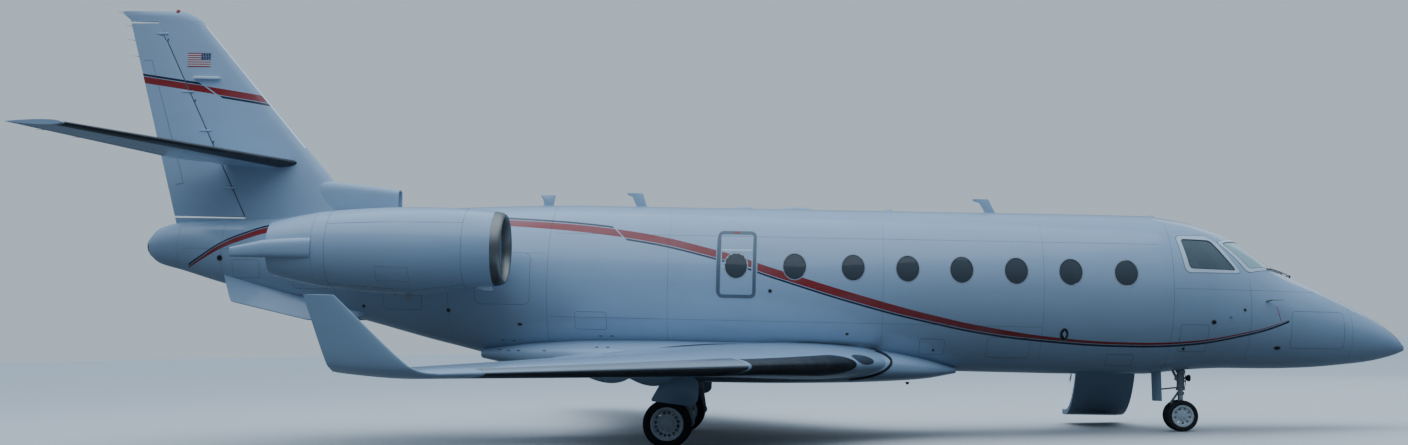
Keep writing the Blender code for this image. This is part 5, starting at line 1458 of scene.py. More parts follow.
def bars(at, rows):
    """Round bars: each row gives the two ends, the radius, the sides and the bevel of the rims."""
    return [rod(at(*a), at(*b), radius, sides, bevel=bevel) for a, b, radius, sides, bevel in rows]


def pipes(at, routes, radius):
    """Hoses along rows of places."""
    return [tube([at(*place) for place in route], radius) for route in routes]


def plate_block(at, low, high, bevel):
    """A block between two places."""
    return block(at(*low), at(*high), bevel)


axle = on_ground(NOSE_WHEEL["x"], 0, NOSE_WHEEL["radius"])
BRACE_HEAD = (5.931, 0, 0.60)
LAMP_PLACE = (0.135, 0, 0.545)


def near_nose(x, y, z):
    """A point given from the nose axle."""
    return axle + Vector((x, y, z))


upper = bars(near_nose, [((0, 0, 0.364), (0, 0, 0.86), 0.055, 40, 0.003),
                         ((0, 0, 0.366), (0, 0, 0.402), 0.066, 40, 0.004),
                         ((0, 0, 0.62), (0, 0, 0.66), 0.064, 40, 0.004),
                         ((-0.01, 0, 0.45), (-0.20, 0, 0.82), 0.020, 24, 0),
                         ((-0.06, -0.022, 0.53), (-0.06, 0.022, 0.53), 0.026, 24, 0.003),
                         ((0.05, -0.07, 0.50), (0.05, 0.07, 0.50), 0.014, 20, 0)])
upper.append(plate_block(near_nose, (-0.045, -0.13, 0.622), (0.045, 0.13, 0.656), 0.010))
upper.append(rod(near_nose(0, 0, 0.41), on_ground(*BRACE_HEAD), 0.012, 20))
piece("nose_leg_upper", fittings(upper), LEG_PAINT, stands_for="nose_leg")
piston = rod(near_nose(0, 0, 0.03), near_nose(0, 0, 0.362), 0.038, 40)
piece("nose_piston", piston, CHROME, body="nose_steering", stands_for="nose_lower_leg")
fork = [rod(near_nose(0, 0, 0.02), near_nose(0, 0, 0.085), 0.050, 40, 0.042, bevel=0.003),
        plate_block(near_nose, (-0.150, -0.014, 0.168), (-0.118, 0.014, 0.198), 0.006)]
fork += bars(near_nose, [((0, -0.044, 0), (0, 0.044, 0), 0.056, 40, 0.004),
                         ((0, 0, 0.300), (0, 0, 0.345), 0.054, 40, 0.004),
                         ((-0.135, -0.040, 0.184), (-0.135, 0.040, 0.184), 0.009, 16, 0),
                         ((0.050, -0.012, 0.028), (0.085, -0.012, 0.028), 0.011, 16, 0),
                         ((0.045, 0.012, 0.028), (0.085, 0.012, 0.028), 0.011, 16, 0)])
for y in (-0.026, 0.026):
    fork += bars(near_nose, [((-0.040, y * 1.3, 0.060), (-0.135, y, 0.180), 0.010, 16, 0),
                             ((-0.040, y * 1.3, 0.320), (-0.135, y, 0.188), 0.010, 16, 0)])
piece("nose_fork", fittings(fork), LEG_PAINT, body="nose_steering")
lamp = spun([(0.004, 0.0), (0.0, 0.030), (-0.010, 0.050), (-0.030, 0.048), (-0.062, 0.024), (-0.064, 0.0)],
            near_nose(*LAMP_PLACE), 40)
piece("taxi_lamp_shell", lamp, BLACK_TRIM)
glass = spun([(0.012, 0.0), (0.009, 0.024), (0.002, 0.045), (-0.004, 0.045), (-0.004, 0.0)],
             near_nose(LAMP_PLACE[0] + 0.001, 0, LAMP_PLACE[2]), 40)
piece("taxi_lamp_glass", glass, CLEAR_LENS)
piece("taxi_lamp_arm", rod(near_nose(0.04, 0, 0.54), near_nose(0.078, 0, 0.545), 0.016, 20), LEG_PAINT)
routes = [[(0.03, y, 0.66), (0.055, y * 1.3, 0.60), (0.060, y * 1.5, 0.50), (0.050, y * 1.3, 0.42),
           (0.034, y, 0.385)] for y in (-0.052, 0.050)]
piece("nose_lines", fittings(pipes(near_nose, routes, 0.0055)), BLACK_TRIM)

NOSE_DOOR = dict(x=5.925, radius=0.160, spread=radians(70), skin=0.012, low=0.445, high=0.995)
arc = [NOSE_DOOR["spread"] * (i / 12 - 1) for i in range(25)]
middle = NOSE_DOOR["x"] + NOSE_DOOR["radius"]
rings = []
for z, inset in ((NOSE_DOOR["low"], 0.006), (NOSE_DOOR["low"] + 0.006, 0.0), (NOSE_DOOR["high"], 0.0)):
    near, far = NOSE_DOOR["radius"] - inset * 0.6, NOSE_DOOR["radius"] - NOSE_DOOR["skin"] + inset * 0.6
    rings.append([on_ground(middle - radius * cos(a), radius * sin(a), z)
                  for radius, row in ((near, arc), (far, arc[::-1])) for a in row])
piece("nose_gear_door", sweep(rings), PLAIN_PAINT)

# %% [markdown]
# Each main leg is a post from the wing, a link that trails back to the axle, and a shock strut
# between them. The brakes sit on the leg and not on the wheels, so they stay still when the wheels
# turn.

# %% Main gear
# The leg door's outline, at stations and heights over the floor.
LEG_DOOR = [(-1.248, 0.654), (-0.688, 0.574), (-0.597, 0.632), (-0.582, 0.910), (-0.660, 0.975),
            (-1.036, 0.995), (-1.123, 0.860)]
LEG_DOOR_Y, STAY_Y = 1.925, 1.712
BRAKE_DISCS = (0.128, 0.120, 0.128, 0.120, 0.126)
for word, side in SIDES.items():
    hub = on_ground(MAIN_WHEEL["x"], side * MAIN_WHEEL["y"], MAIN_WHEEL["radius"])

    def near_main(x, y, z):
        """A point given from this side's main axle."""
        return hub + Vector((x, y, z))

    legs = bars(near_main, [((0.300, 0, 0.02), (0.160, 0, 0.90), 0.060, 40, 0),
                            ((0.235, 0, 0.42), (0.216, 0, 0.54), 0.070, 40, 0.005),
                            ((0.300, -0.056, 0.02), (0.300, 0.056, 0.02), 0.068, 40, 0.005),
                            ((0.300, -0.066, 0.02), (0.300, 0.066, 0.02), 0.024, 6, 0),
                            ((0.0, -0.050, 0), (0.0, 0.050, 0), 0.060, 40, 0.005),
                            ((0.140, 0, 0.42), (0.182, 0, 0.66), 0.044, 40, 0.004),
                            ((0.138, 0, 0.405), (0.143, 0, 0.435), 0.050, 40, 0.004),
                            ((0.150, 0, 0.61), (0.230, 0, 0.60), 0.030, 24, 0)])
    legs.append(rod(near_main(0.290, 0, 0.02), near_main(0.0, 0, 0.0), 0.042, 32, 0.038))
    legs.append(plate_block(near_main, (0.045, -0.030, 0.012), (0.090, 0.030, 0.062), 0.008))
    piece(f"main_leg_arm_{word}", fittings(legs), LEG_PAINT, stands_for=f"main_leg_{word}")
    shock = rod(near_main(0.064, 0, 0.045), near_main(0.140, 0, 0.42), 0.028, 40)
    piece(f"shock_piston_{word}", shock, CHROME)
    discs = []
    for out in (-1, 1):
        for index, radius in enumerate(BRAKE_DISCS):
            near = out * (0.052 + 0.008 * index)
            discs.append(rod(near_main(0, near, 0), near_main(0, near + out * 0.007, 0), radius, 48))
        for a in spread(0, 2 * pi, 5)[:-1]:
            spot = Vector((0.092 * sin(a), 0, 0.092 * cos(a)))
            bolt = [near_main(0, out * reach, 0) + spot for reach in (0.040, 0.058)]
            discs.append(rod(*bolt, 0.020, 20))
    piece(f"brakes_{word}", fittings(discs), STEEL)
    routes = [[(0.165, y, 0.62), (0.120, y * 1.9, 0.50), (0.080, y * 1.9, 0.36), (0.060, y * 1.7, 0.20),
               (0.020, y * 1.7, 0.10), (-0.010, y * 1.8, 0.070)] for y in (-0.030, 0.030)]
    piece(f"brake_hoses_{word}", fittings(pipes(near_main, routes, 0.007)), BLACK_TRIM)
    outline = soft_corners([(x, side * (LEG_DOOR_Y - 0.010), z) for x, z in LEG_DOOR], 0.05, 4)
    middle = sum(outline, Vector()) / len(outline)
    panel = sweep([outline, [p + Vector((0, side * 0.018, 0)) for p in outline],
                   [p + Vector((0, side * 0.020, 0)) + (middle - p).normalized() * 0.003 for p in outline]])
    near, far = sorted((side * STAY_Y, side * (LEG_DOOR_Y - 0.011)))
    merge_in(panel, block((-0.838, near, 0.845), (-0.770, far, 0.915), 0.012))
    piece(f"leg_door_panel_{word}", panel, PLAIN_PAINT, stands_for=f"main_leg_door_{word}",
          parked=False, crease=40)

# %% [markdown]
# The airstair is the piece of barrel that was cut from the door opening, swung down about the hinge
# at its sill. Building it closed and then turning it, as the real one turns, makes the curve of the
# skin and the pitch of the steps come out right. The wave crosses it, so its paint reads the place
# each point had when the door was closed, stored on the mesh before the swing.

# %% Airstair door
DOOR_OPEN = radians(-132)
HINGE_X, HINGE_REACH = 5.37, 1.183
HINGE = Vector((HINGE_X, HINGE_REACH * cos(DOOR_ANGLES[0]), DOOR_MIDDLE + HINGE_REACH * sin(DOOR_ANGLES[0])))
SWING = Matrix.Translation(HINGE) @ Matrix.Rotation(DOOR_OPEN, 4, "X") @ Matrix.Translation(-HINGE)
DOOR_WALL, KNUCKLE = 0.072, 0.0115


def two_tone(obj, inner_finish, centre):
    """Give the faces that look towards a line through the centre a second finish."""
    obj.data.materials.append(inner_finish)
    for face in obj.data.polygons:
        out = face.center - centre
        out.x = 0
        if face.normal.dot(out) < -0.2 * out.length:
            face.material_index = 1


def closed_place(obj, turn):
    """Store where each corner was before a turn, for the paint."""
    layer = obj.data.attributes.new("closed_place", "FLOAT_VECTOR", "POINT")
    back = turn.inverted() @ PARK.inverted()
    for index, vert in enumerate(obj.data.vertices):
        layer.data[index].vector = back @ vert.co


door = hull_shell(DOOR_X[1] + 0.1, DOOR_X[0] - 0.1, wall=DOOR_WALL)
door = cut(door, door_cutter(-0.007), "INTERSECT")
door.transform(SWING)
DOOR = piece("airstair_skin", door, body_paint("door_paint", "closed_place"), body="airstair",
             stands_for="airstair_door", crease=25)
closed_place(DOOR, SWING)
door_axis = PARK @ SWING @ Vector((HINGE_X, 0, DOOR_MIDDLE))
two_tone(DOOR, LINING, door_axis)
for name, body, ends in (("airstair_knuckles", "airstair", ((5.0804, 5.140), (5.600, 5.6596))),
                         ("sill_knuckles", "airframe", ((5.020, 5.080), (5.660, 5.720)))):
    knuckles = [rod((near, HINGE.y, HINGE.z), (far, HINGE.y, HINGE.z), KNUCKLE, 20) for near, far in ends]
    piece(name, fittings(knuckles), STEEL, body=body)
print("airstair faces:", len(DOOR.data.polygons))

# %% [markdown]
# Inside the door: two side cheeks that follow its curve, five treads that come level when it is down,
# each with a ribbed mat, and a tube rail on each side.

# %% Steps and rails
# Angles of the treads round the hull's middle with the door shut, in degrees.
TREAD_ANGLES = [-32.0, -15.5, 1.0, 17.5, 33.0]
STEP_EDGES = (DOOR_X[0] + 0.120, DOOR_X[1] - 0.120)


def inside_door(x, angle, inset):
    """A place inside the closed door's skin, carried to where it is when the door is down."""
    point = hull_point(DOOR_X[1], radians(angle), 0.077 + inset)
    return SWING @ Vector((x, point.y, point.z))


cheeks = []
rise = spread(-37, 45, 28)
for x in STEP_EDGES:
    rings = [[inside_door(x + across, a, inset) for inset, row in ((0.001, rise), (0.062, rise[::-1]))
              for a in row] for across in (-0.012, 0.012)]
    cheeks.append(sweep(rings))
treads, mats, edges = [], [], []
near, far = STEP_EDGES[0] - 0.005, STEP_EDGES[1] + 0.005
for angle in TREAD_ANGLES:
    seat = inside_door(0, angle, 0.032)
    y, z = seat.y, seat.z
    treads.append(block((near, y, z - 0.012), (far, y + 0.200, z + 0.010), 0.004))
    mats.append(block((near + 0.03, y + 0.02, z + 0.010), (far - 0.03, y + 0.172, z + 0.0135), 0.001))
    for i in range(9):
        rib = y + 0.030 + 0.016 * i
        mats.append(block((near + 0.04, rib, z + 0.0135), (far - 0.04, rib + 0.007, z + 0.016)))
    edges.append(block((near + 0.01, y + 0.178, z + 0.009), (far - 0.01, y + 0.199, z + 0.0125), 0.001))
piece("airstair_frame", fittings(cheeks + treads), LEG_PAINT, body="airstair", stands_for="airstair_steps",
      slot="bare_metal")
piece("step_mats", fittings(mats), BLACK_TRIM, body="airstair")
piece("step_edges", fittings(edges), CHROME, body="airstair")
rails = []
lean = SWING.to_3x3() @ Vector((0, -0.60, 0.05))
for x in STEP_EDGES:
    foot, head = inside_door(x, -28.0, 0.030), inside_door(x, 26.0, 0.030)
    along = (head - foot) * 0.10
    path = [foot, foot + lean * 0.5, foot + lean * 0.90, foot + lean, foot + lean * 1.0 + along,
            head + lean * 0.9 - along, head + lean * 0.9, head + lean * 0.8, head + lean * 0.4, head]
    rails.append(tube(path, 0.013, 16))
piece("airstair_rails", fittings(rails), CHROME, body="airstair")
print("steps:", len(TREAD_ANGLES))

# %% [markdown]
# The cabin is seen through the windows and the open door: a carpeted floor, a bare lining, the
# pilots' panel and the seats. Seats are foam under leather, so their cushions are rounded blocks
# with a swollen face.

# %% Cabin floor and panel
FLOOR_X, FLOOR_FOOT, FLOOR_TOP = (-2.83, 7.24), 1.402, 1.4395
ENTRY = block((4.77, 0.350, 1.3), (5.97, 1.5, 1.6))
rings = []
for x in spread(*FLOOR_X, 40):
    half = side_offset(x, 1.400) - 0.095
    corners = ((-half, FLOOR_FOOT), (half, FLOOR_FOOT), (half, FLOOR_TOP), (-half, FLOOR_TOP))
    rings.append([Vector((x, y, z)) for y, z in corners])
floor_slab = cut(sweep(rings), ENTRY)
piece("cabin_carpet", floor_slab, CARPET, stands_for="cabin_floor")
# Panel blocks from one station to another: half width, foot, top and rounding.
PANEL = [(7.06, 7.40, 0.50, 1.46, 2.20, 0.02), (7.03, 7.42, 0.54, 2.20, 2.36, 0.03),
         (6.94, 7.44, 0.55, 2.345, 2.385, 0.018), (6.62, 7.08, 0.13, 1.46, 1.98, 0.02)]
panel = [block((x1, -half, foot), (x2, half, top), bevel) for x1, x2, half, foot, top, bevel in PANEL]
piece("instrument_panel", fittings(panel), BLACK_TRIM)
screens = [block((7.052, y - 0.105, 2.02), (7.062, y + 0.105, 2.19), 0.004)
           for y in (-0.37, -0.13, 0.13, 0.37)]
piece("panel_screens", fittings(screens), CABIN_GLASS)
wheel_posts = []
for side in SIDES.values():
    y = side * 0.36
    wheel_posts.append(rod((7.07, y, 1.90), (6.93, y, 1.93), 0.014, 16))
    path = [(6.92, y - 0.13, 2.05), (6.90, y - 0.14, 1.97), (6.92, y - 0.07, 1.91), (6.93, y, 1.92),
            (6.92, y + 0.07, 1.91), (6.90, y + 0.14, 1.97), (6.92, y + 0.13, 2.05)]
    wheel_posts.append(tube(path, 0.013, 12))
piece("control_columns", fittings(wheel_posts), BLACK_TRIM)
two_tone(CABIN_SKIN, LINING, PARK @ Vector((1.5, 0, DOOR_MIDDLE)))
print("floor slab from", FLOOR_X[0], "to", FLOOR_X[1])

# %% [markdown]
# One seat is made from a base, two arm rests, a cushion, a back and a head rest, and placed facing
# ahead or astern.

# %% Seats
# Seats: station, distance from the middle, and 1 for facing ahead or -1 for facing astern.
PILOT_SEATS = [(6.45, 0.38, 1)]
CABIN_SEATS = [(4.00, 0.62, -1), (2.70, 0.62, 1), (1.30, 0.62, -1), (0.00, 0.62, 1)]


def cushion(low, high, round_by, swell):
    """A rounded block whose broad face swells in the middle."""
    bm = block(low, high, round_by, 4)
    low, high = Vector(low), Vector(high)
    middle, half = (low + high) / 2, (high - low) / 2
    wide = [e for e in bm.edges if e.calc_length() > 0.12]
    bmesh.ops.subdivide_edges(bm, edges=wide, cuts=5, use_grid_fill=True)
    thin = min(range(3), key=lambda k: half[k])
    for vert in bm.verts:
        share = 1.0
        for k in range(3):
            if k != thin:
                share *= max(0.0, 1 - ((vert.co[k] - middle[k]) / half[k])**2)
        vert.co[thin] += swell * share * (1 if vert.co[thin] > middle[thin] else -0.3)
    return bm


def seat_pieces(x, y, facing, wide):
    """Base, arm rests and cushions of one seat that faces ahead, placed and turned."""
    half = wide / 2
    hard = [block((-0.20, -half + 0.06, 1.462), (0.20, half - 0.06, 1.66), 0.02),
            block((-0.26, -half + 0.02, 1.64), (0.24, half - 0.02, 1.70), 0.02)]
    for side in (-1, 1):
        a, b = sorted((side * (half - 0.055), side * half))
        hard.append(block((-0.20, a, 1.69), (0.22, b, 1.96), 0.02))
    soft = [cushion((-0.18, -half + 0.06, 1.70), (0.25, half - 0.06, 1.84), 0.035, 0.022),
            cushion((-0.255, -half + 0.03, 1.80), (-0.135, half - 0.03, 2.42), 0.04, 0.022),
            cushion((-0.235, -half + 0.10, 2.43), (-0.145, half - 0.10, 2.57), 0.035, 0.015)]
    turn = Matrix.Translation((x, y, 0)) @ Matrix.Rotation(0 if facing > 0 else pi, 4, "Z")
    return [fittings(hard), fittings(soft)], turn


def seat_row(name, table, side, wide, stands_for):
    """All seats of a table on one side: one hard piece and one padded piece."""
    hard, soft = bmesh.new(), bmesh.new()
    for x, across, facing in table:
        (frame_part, cushions), turn = seat_pieces(x, side * across, facing, wide)
        merge_in(hard, frame_part, turn)
        merge_in(soft, cushions, turn)
    piece(f"{name}_frames", hard, LEATHER, stands_for=stands_for, slot="cabin_lining")
    piece(f"{name}_cushions", soft, LEATHER)


for word, side in SIDES.items():
    seat_row(f"cabin_seat_{word}", CABIN_SEATS, side, 0.46, f"cabin_seats_{word}")
    seat_row(f"pilot_seat_{word}", PILOT_SEATS, side, 0.44, ())
print("seats:", 2 * (len(CABIN_SEATS) + len(PILOT_SEATS)))

# %% [markdown]
# Frames, ports and bands lie on the curved skin. Each is drawn as it looks from the side, and every
# point is then carried out to the skin and lifted by its thickness, so the piece hugs the curve.

# %% Pieces laid on the skin
SINK = 0.002


def skin_strip(outer, inner, side, lift):
    """A thin closed band between two outlines of (x, z) with equal counts."""
    rings = [[on_side(*a, side, lift), on_side(*b, side, lift),
              on_side(*b, side, -SINK), on_side(*a, side, -SINK)]
             for a, b in zip(outer + outer[:1], inner + inner[:1])]
    bm = sweep(rings, capped=False)
    bmesh.ops.remove_doubles(bm, verts=bm.verts, dist=0.00005)
    return bm


def skin_patch(points, side, lift, place=on_side):
    """A thin closed patch of an outline of (x, z)."""
    return sweep([[place(x, z, side, height) for x, z in points] for height in (-SINK, lift)])


def skin_line(points, width, side, lift, place=on_side):
    """A thin open line along points of (x, z)."""
    rings = []
    for index, (x, z) in enumerate(points):
        before, after = points[max(0, index - 1)], points[min(len(points) - 1, index + 1)]
        way = Vector((after[0] - before[0], after[1] - before[1])).normalized() * width / 2
        a, b = (x - way.y, z + way.x), (x + way.y, z - way.x)
        rings.append([place(*a, side, lift), place(*b, side, lift),
                      place(*b, side, -SINK), place(*a, side, -SINK)])
    return sweep(rings)


BAND_X, BAND_Z, BAND_WIDTH, BAND_MARGIN = (-0.486, 0.070), (2.035, 2.998), 0.050, 0.016
exit_line = rounded(EXIT_X, EXIT_Z, EXIT_CORNER)
bands, marks, rings_of = [], [], []
band_line = rounded(BAND_X, BAND_Z, 0.085)
bands.append(skin_strip(band_line, scaled(band_line, -BAND_WIDTH), -1, 0.0022))
margin = skin_strip(scaled(band_line, BAND_MARGIN), scaled(band_line, -BAND_WIDTH - BAND_MARGIN), -1, 0.0012)
piece("exit_band_margin", margin, PLAIN_PAINT)
bands.append(skin_strip(scaled(exit_line, 0.003), scaled(exit_line, -0.003), -1, 0.0026))
for side in SIDES.values():
    for x in windows_of(side):
        oval_line = oval(x, WINDOW_Z, WINDOW_HALF, 48)
        rings_of.append(skin_strip(scaled(oval_line, 0.012), scaled(oval_line, 0.0005), side, 0.0012))
piece("exit_band", fittings(bands), BAND_GREY)
piece("window_rings", fittings(rings_of), GREY_PAINT)
grip = rounded((5.350, 5.500), (2.625, 2.690), 0.015)
grip = skin_strip(grip, scaled(grip, -0.012), 1, 0.003)
grip.transform(SWING)
piece("airstair_handle", grip, STEEL, body="airstair")
marks.append(skin_patch(rounded((-0.262, -0.178), (2.966, 2.992), 0.006), -1, 0.0022))
marks.append(skin_line([(7.40, 2.075), (7.425, 1.98), (7.455, 1.88)], 0.010, -1, 0.0012))
piece("red_marks", fittings(marks), new_material("mark_red", (0.52, 0.04, 0.03), 0.35))
# Ports: station, height, half length and half height.
PORTS = [(4.405, 1.624, 0.055, 0.085), (6.481, 1.842, 0.032, 0.026), (6.922, 2.022, 0.016, 0.016),
         (7.443, 1.498, 0.045, 0.022), (1.371, 1.564, 0.022, 0.016), (0.272, 2.146, 0.022, 0.022),
         (-7.914, 2.482, 0.040, 0.040), (-5.675, 1.814, 0.020, 0.020), (6.10, 1.46, 0.018, 0.018),
         (2.60, 1.36, 0.016, 0.016), (-3.30, 1.60, 0.030, 0.014), (-4.35, 1.78, 0.026, 0.026)]
ports, port_rings = [], []
for side in SIDES.values():
    for x, z, half_x, half_z in PORTS:
        ports.append(skin_patch(oval(x, z, (half_x, half_z), 28), side, 0.002))
        grown = oval(x, z, (half_x + 0.007, half_z + 0.007), 28)
        port_rings.append(skin_strip(grown, oval(x, z, (half_x, half_z), 28), side, 0.003))
piece("hull_ports", fittings(ports), BLACK_TRIM)
piece("port_rings", fittings(port_rings), STEEL)
print("ports on each side:", len(PORTS))

# %% [markdown]
# Panel lines are laid the same way, as fine dark lines: the nose bay doors, the baggage door, the
# service panels along the belly and the joints of the cabin skin.

# %% Panel lines and cockpit frames
# Panels: from one station to another, from one height to another, and the corner's radius.
PANELS = [(7.62, 8.42, 1.50, 2.02, 0.06), (6.02, 6.42, 1.42, 1.80, 0.04), (3.35, 3.95, 1.28, 1.56, 0.04),
          (2.40, 2.75, 1.30, 1.52, 0.03), (-3.95, -3.15, 1.88, 2.62, 0.10), (-5.35, -4.75, 1.78, 2.05, 0.04),
          (-6.75, -6.20, 2.05, 2.30, 0.04), (-7.72, -7.28, 2.20, 2.46, 0.04), (5.05, 5.42, 1.20, 1.36, 0.03),
          (-2.50, -2.05, 1.55, 1.80, 0.03)]
# Skin joints: stations of the upright ones, and height and ends of the level ones.
UPRIGHTS, SILL_Z = (7.02, 4.10, 1.86, -1.18, -4.35, -6.10, -7.90), 2.49
LEVELS = [(1.72, -2.85, 4.10), (2.30, 5.92, 8.05), (2.62, -8.5, -2.95)]
lines = []
for side in SIDES.values():
    for x1, x2, z1, z2, corner in PANELS:
        outline = rounded((x1, x2), (z1, z2), corner)
        lines.append(skin_strip(scaled(outline, 0.0020), scaled(outline, -0.0020), side, 0.0006))
    for x in UPRIGHTS:
        top, bottom = hull_section(x)[:2]
        top = SILL_Z if x > COCKPIT_X else top
        upright = straight((x, bottom + 0.03), (x, top - 0.03), 40)
        lines.append(skin_line(upright, 0.0030, side, 0.0004))
    crown_end = 5.85 if side < 0 else DOOR_X[0] - 0.03
    for z, x1, x2 in ((2.92, -2.85, crown_end), *LEVELS):
        lines.append(skin_line(straight((x1, z), (x2, z), 60), 0.0028, side, 0.0004))
LINE_GREY = new_material("line_grey", (0.085, 0.105, 0.135), 0.6)
piece("panel_lines", fittings(lines), LINE_GREY)


def cockpit_frame(outside, inside, lift):
    """A band of thin skin round each cockpit pane, from inside to outside of its edge."""
    bands = bmesh.new()
    prisms = [(pane, side) for pane in (FRONT_PANES, SIDE_PANES) for side in SIDES.values()]
    for pane, side in prisms:
        band = hull_shell(8.0, COCKPIT_X + 0.02, wall=0.006, lift=lift)
        band = cut(band, pane_cutter(*pane, side, outside), "INTERSECT")
        for other, where in prisms:
            band = cut(band, pane_cutter(*other, where, inside))
        merge_in(bands, band)
    return bands


piece("cockpit_frames", cockpit_frame(0.085, 0.002, 0.0030), FRAME_WHITE, crease=25)
piece("cockpit_frame_lines", cockpit_frame(0.094, 0.085, 0.0024), LINE_GREY, crease=25)
piece("cockpit_seals", cockpit_frame(0.010, 0.001, 0.0042), BLACK_TRIM, crease=25)


def on_top(x, y, side):
    """The place on the crown at a station and a distance from the middle."""
    low, high = hull_section(x)[3], hull_section(x)[0]
    for _ in range(30):
        z = (low + high) / 2
        low, high = (z, high) if side_offset(x, z) > y else (low, z)
    return Vector((x, side * y, low))


wipers = []
for side in SIDES.values():
    pivot, elbow, tip = (on_top(x, y, side) for x, y in ((7.79, 0.07), (7.66, 0.16), (7.40, 0.44)))
    rise = Vector((0.010, 0, 0.022))
    wipers.append(rod(pivot - rise * 0.2, pivot + rise * 1.5, 0.014, 16))
    wipers.append(tube([pivot + rise, elbow + rise * 1.4, tip + rise * 0.9], 0.0065, 12))
    wipers.append(rod(elbow + rise * 0.4, tip + (tip - elbow) * 0.25 + rise * 0.3, 0.006, 12))
piece("wipers", fittings(wipers), BLACK_TRIM)
print("panel outlines on each side:", len(PANELS))

# %% [markdown]
# Small things break up the crown and the edges, and they are what the eye uses for scale: three blade
# aerials, low blisters, pitot tubes, static wicks, the red beacon and the lamps.

# %% Aerials, probes and lamps
# Blade aerials: front and back of the foot, front and back of the tip, and the tip's height.
AERIALS = [(-3.010, -3.140, -2.975, -3.202, 3.537), (-1.600, -1.750, -1.667, -1.907, 3.590),
           (3.560, 3.410, 3.449, 3.214, 3.590)]
# Blisters: station, half length and height.
BLISTERS = [(-0.145, 0.125, 0.045), (0.620, 0.240, 0.048), (1.985, 0.065, 0.037), (5.81, 0.060, 0.030)]
BLISTER_HALF_WIDTH = 0.075
PITOT, VANE = (7.250, 2.155), (6.72, 1.92)
aerials = []
for foot_front, foot_back, tip_front, tip_back, tip in AERIALS:
    foot = hull_section(foot_front)[0] - 0.010
    neck = tip - 0.060
    crook = foot_back + (tip_back - foot_back) * 0.45
    corners = [(foot_front, 0, foot), (tip_front, 0, tip), (tip_back, 0, tip),
               (tip_back + 0.01, 0, neck + 0.03), (crook, 0, neck), (foot_back, 0, foot)]
    outline = soft_corners(corners, 0.018, 4)
    middle = sum(outline, Vector()) / len(outline)
    aerials.append(sweep([[p + (middle - p).normalized() * inset + Vector((0, y, 0)) for p in outline]
                          for y, inset in ((-0.010, 0.006), (-0.006, 0.0), (0.006, 0.0), (0.010, 0.006))]))
    aerials.append(block((foot_back - 0.03, -0.028, foot), (foot_front + 0.03, 0.028, foot + 0.017), 0.006))
for x, half, tall in BLISTERS:
    dome = bmesh.new()
    bmesh.ops.create_uvsphere(dome, u_segments=32, v_segments=16, radius=1.0)
    dome.transform(Matrix.Translation((x, 0, hull_section(x)[0] - 0.006))
                   @ Matrix.Diagonal((half, BLISTER_HALF_WIDTH, tall, 1)))
    aerials.append(dome)
piece("aerials", fittings(aerials), PLAIN_PAINT)
probes = []
for side in SIDES.values():
    foot, elbow = (on_side(*PITOT, side, reach) for reach in (-0.005, 0.085))
    tip = elbow + Vector((0.190, 0, 0.004))
    probes += [rod(foot, elbow + Vector((0.03, 0, 0)), 0.018, 16, 0.012), rod(elbow, tip, 0.011, 16, 0.006)]
    probes.append(rod(on_side(*VANE, side, -0.004), on_side(*VANE, side, 0.045), 0.012, 16, 0.006))
piece("probes", fittings(probes), STEEL)

# Static wicks on the moving surfaces' rear edges: spans, or heights on the rudder.
AILERON_WICKS, ELEVATOR_WICKS, RUDDER_WICKS = (6.2, 6.9, 7.6), (2.2, 2.8), (5.55, 5.80, 6.02)
WING_WICKS, CAP_WICKS, WINGLET_WICK = (8.18, 8.32), (6.215, 6.235), (-4.035, 8.828, 1.874)


def wick(place, way=(-1, 0, 0), length=0.115):
    """A thin trailing rod with its thicker foot."""
    place, way = Vector(place), Vector(way).normalized()
    return fittings([rod(place, place + way * 0.030, 0.0045, 8),
                     rod(place + way * 0.028, place + way * length, 0.0020, 8)])


def wing_wicks(table, spans, side):
    """Wicks on the rear edge of a wing or tailplane."""
    rows = [between(table, y) for y in spans]
    return [wick((row[2] - row[3] + 0.004, side * row[0], row[1])) for row in rows]


fixed = []
for side in SIDES.values():
    fixed += wing_wicks(WING, WING_WICKS, side)
    x, y, z = WINGLET_WICK
    fixed.append(wick((x, side * y, z), (-1, 0, 0.1)))
for z in CAP_WICKS:
    row = between(FIN_CAP, z)
    fixed.append(wick((row[1] - row[2] + 0.006, 0, z), (-1, 0, 0.05), 0.09))
piece("wicks", fittings(fixed), BLACK_TRIM)
for word, side in SIDES.items():
    for name, table, spans in (("aileron", WING, AILERON_WICKS), ("elevator", TAILPLANE, ELEVATOR_WICKS)):
        piece(f"{name}_wicks_{word}", fittings(wing_wicks(table, spans, side)), BLACK_TRIM,
              body=f"{name}_surface_{word}")
rows = [between(FIN, z) for z in RUDDER_WICKS]
trailing = [wick((row[1] - row[2] + 0.004, 0, row[0]), (-1, 0, 0.1)) for row in rows]
piece("rudder_wicks", fittings(trailing), BLACK_TRIM, body="rudder_surface")

# Beacons: the place and the outline of (height, radius).
BEACONS = [("beacon", (-8.86, 0, 6.228),
            [(0.0, 0.0), (0.0, 0.036), (0.016, 0.036), (0.040, 0.028), (0.052, 0.012), (0.055, 0.0)]),
           ("belly_beacon", (2.30, 0, 0.874),
            [(0.0, 0.0), (0.0, 0.030), (-0.016, 0.028), (-0.034, 0.016), (-0.040, 0.0)])]
for name, place, outline in BEACONS:
    piece(name, spun(outline, place, 32, (0, 0, 1)), RED_LENS)
print("fixed wicks:", len(WING_WICKS) * 2 + len(CAP_WICKS) + 2, "beacons:", len(BEACONS))

# %% [markdown]
# The fin carries the wave again as a straight band, with the thin line above it behind a slanting
# cut and below it ahead of the cut. Fin and rudder share one paint, so the band runs across the gap
# between them.

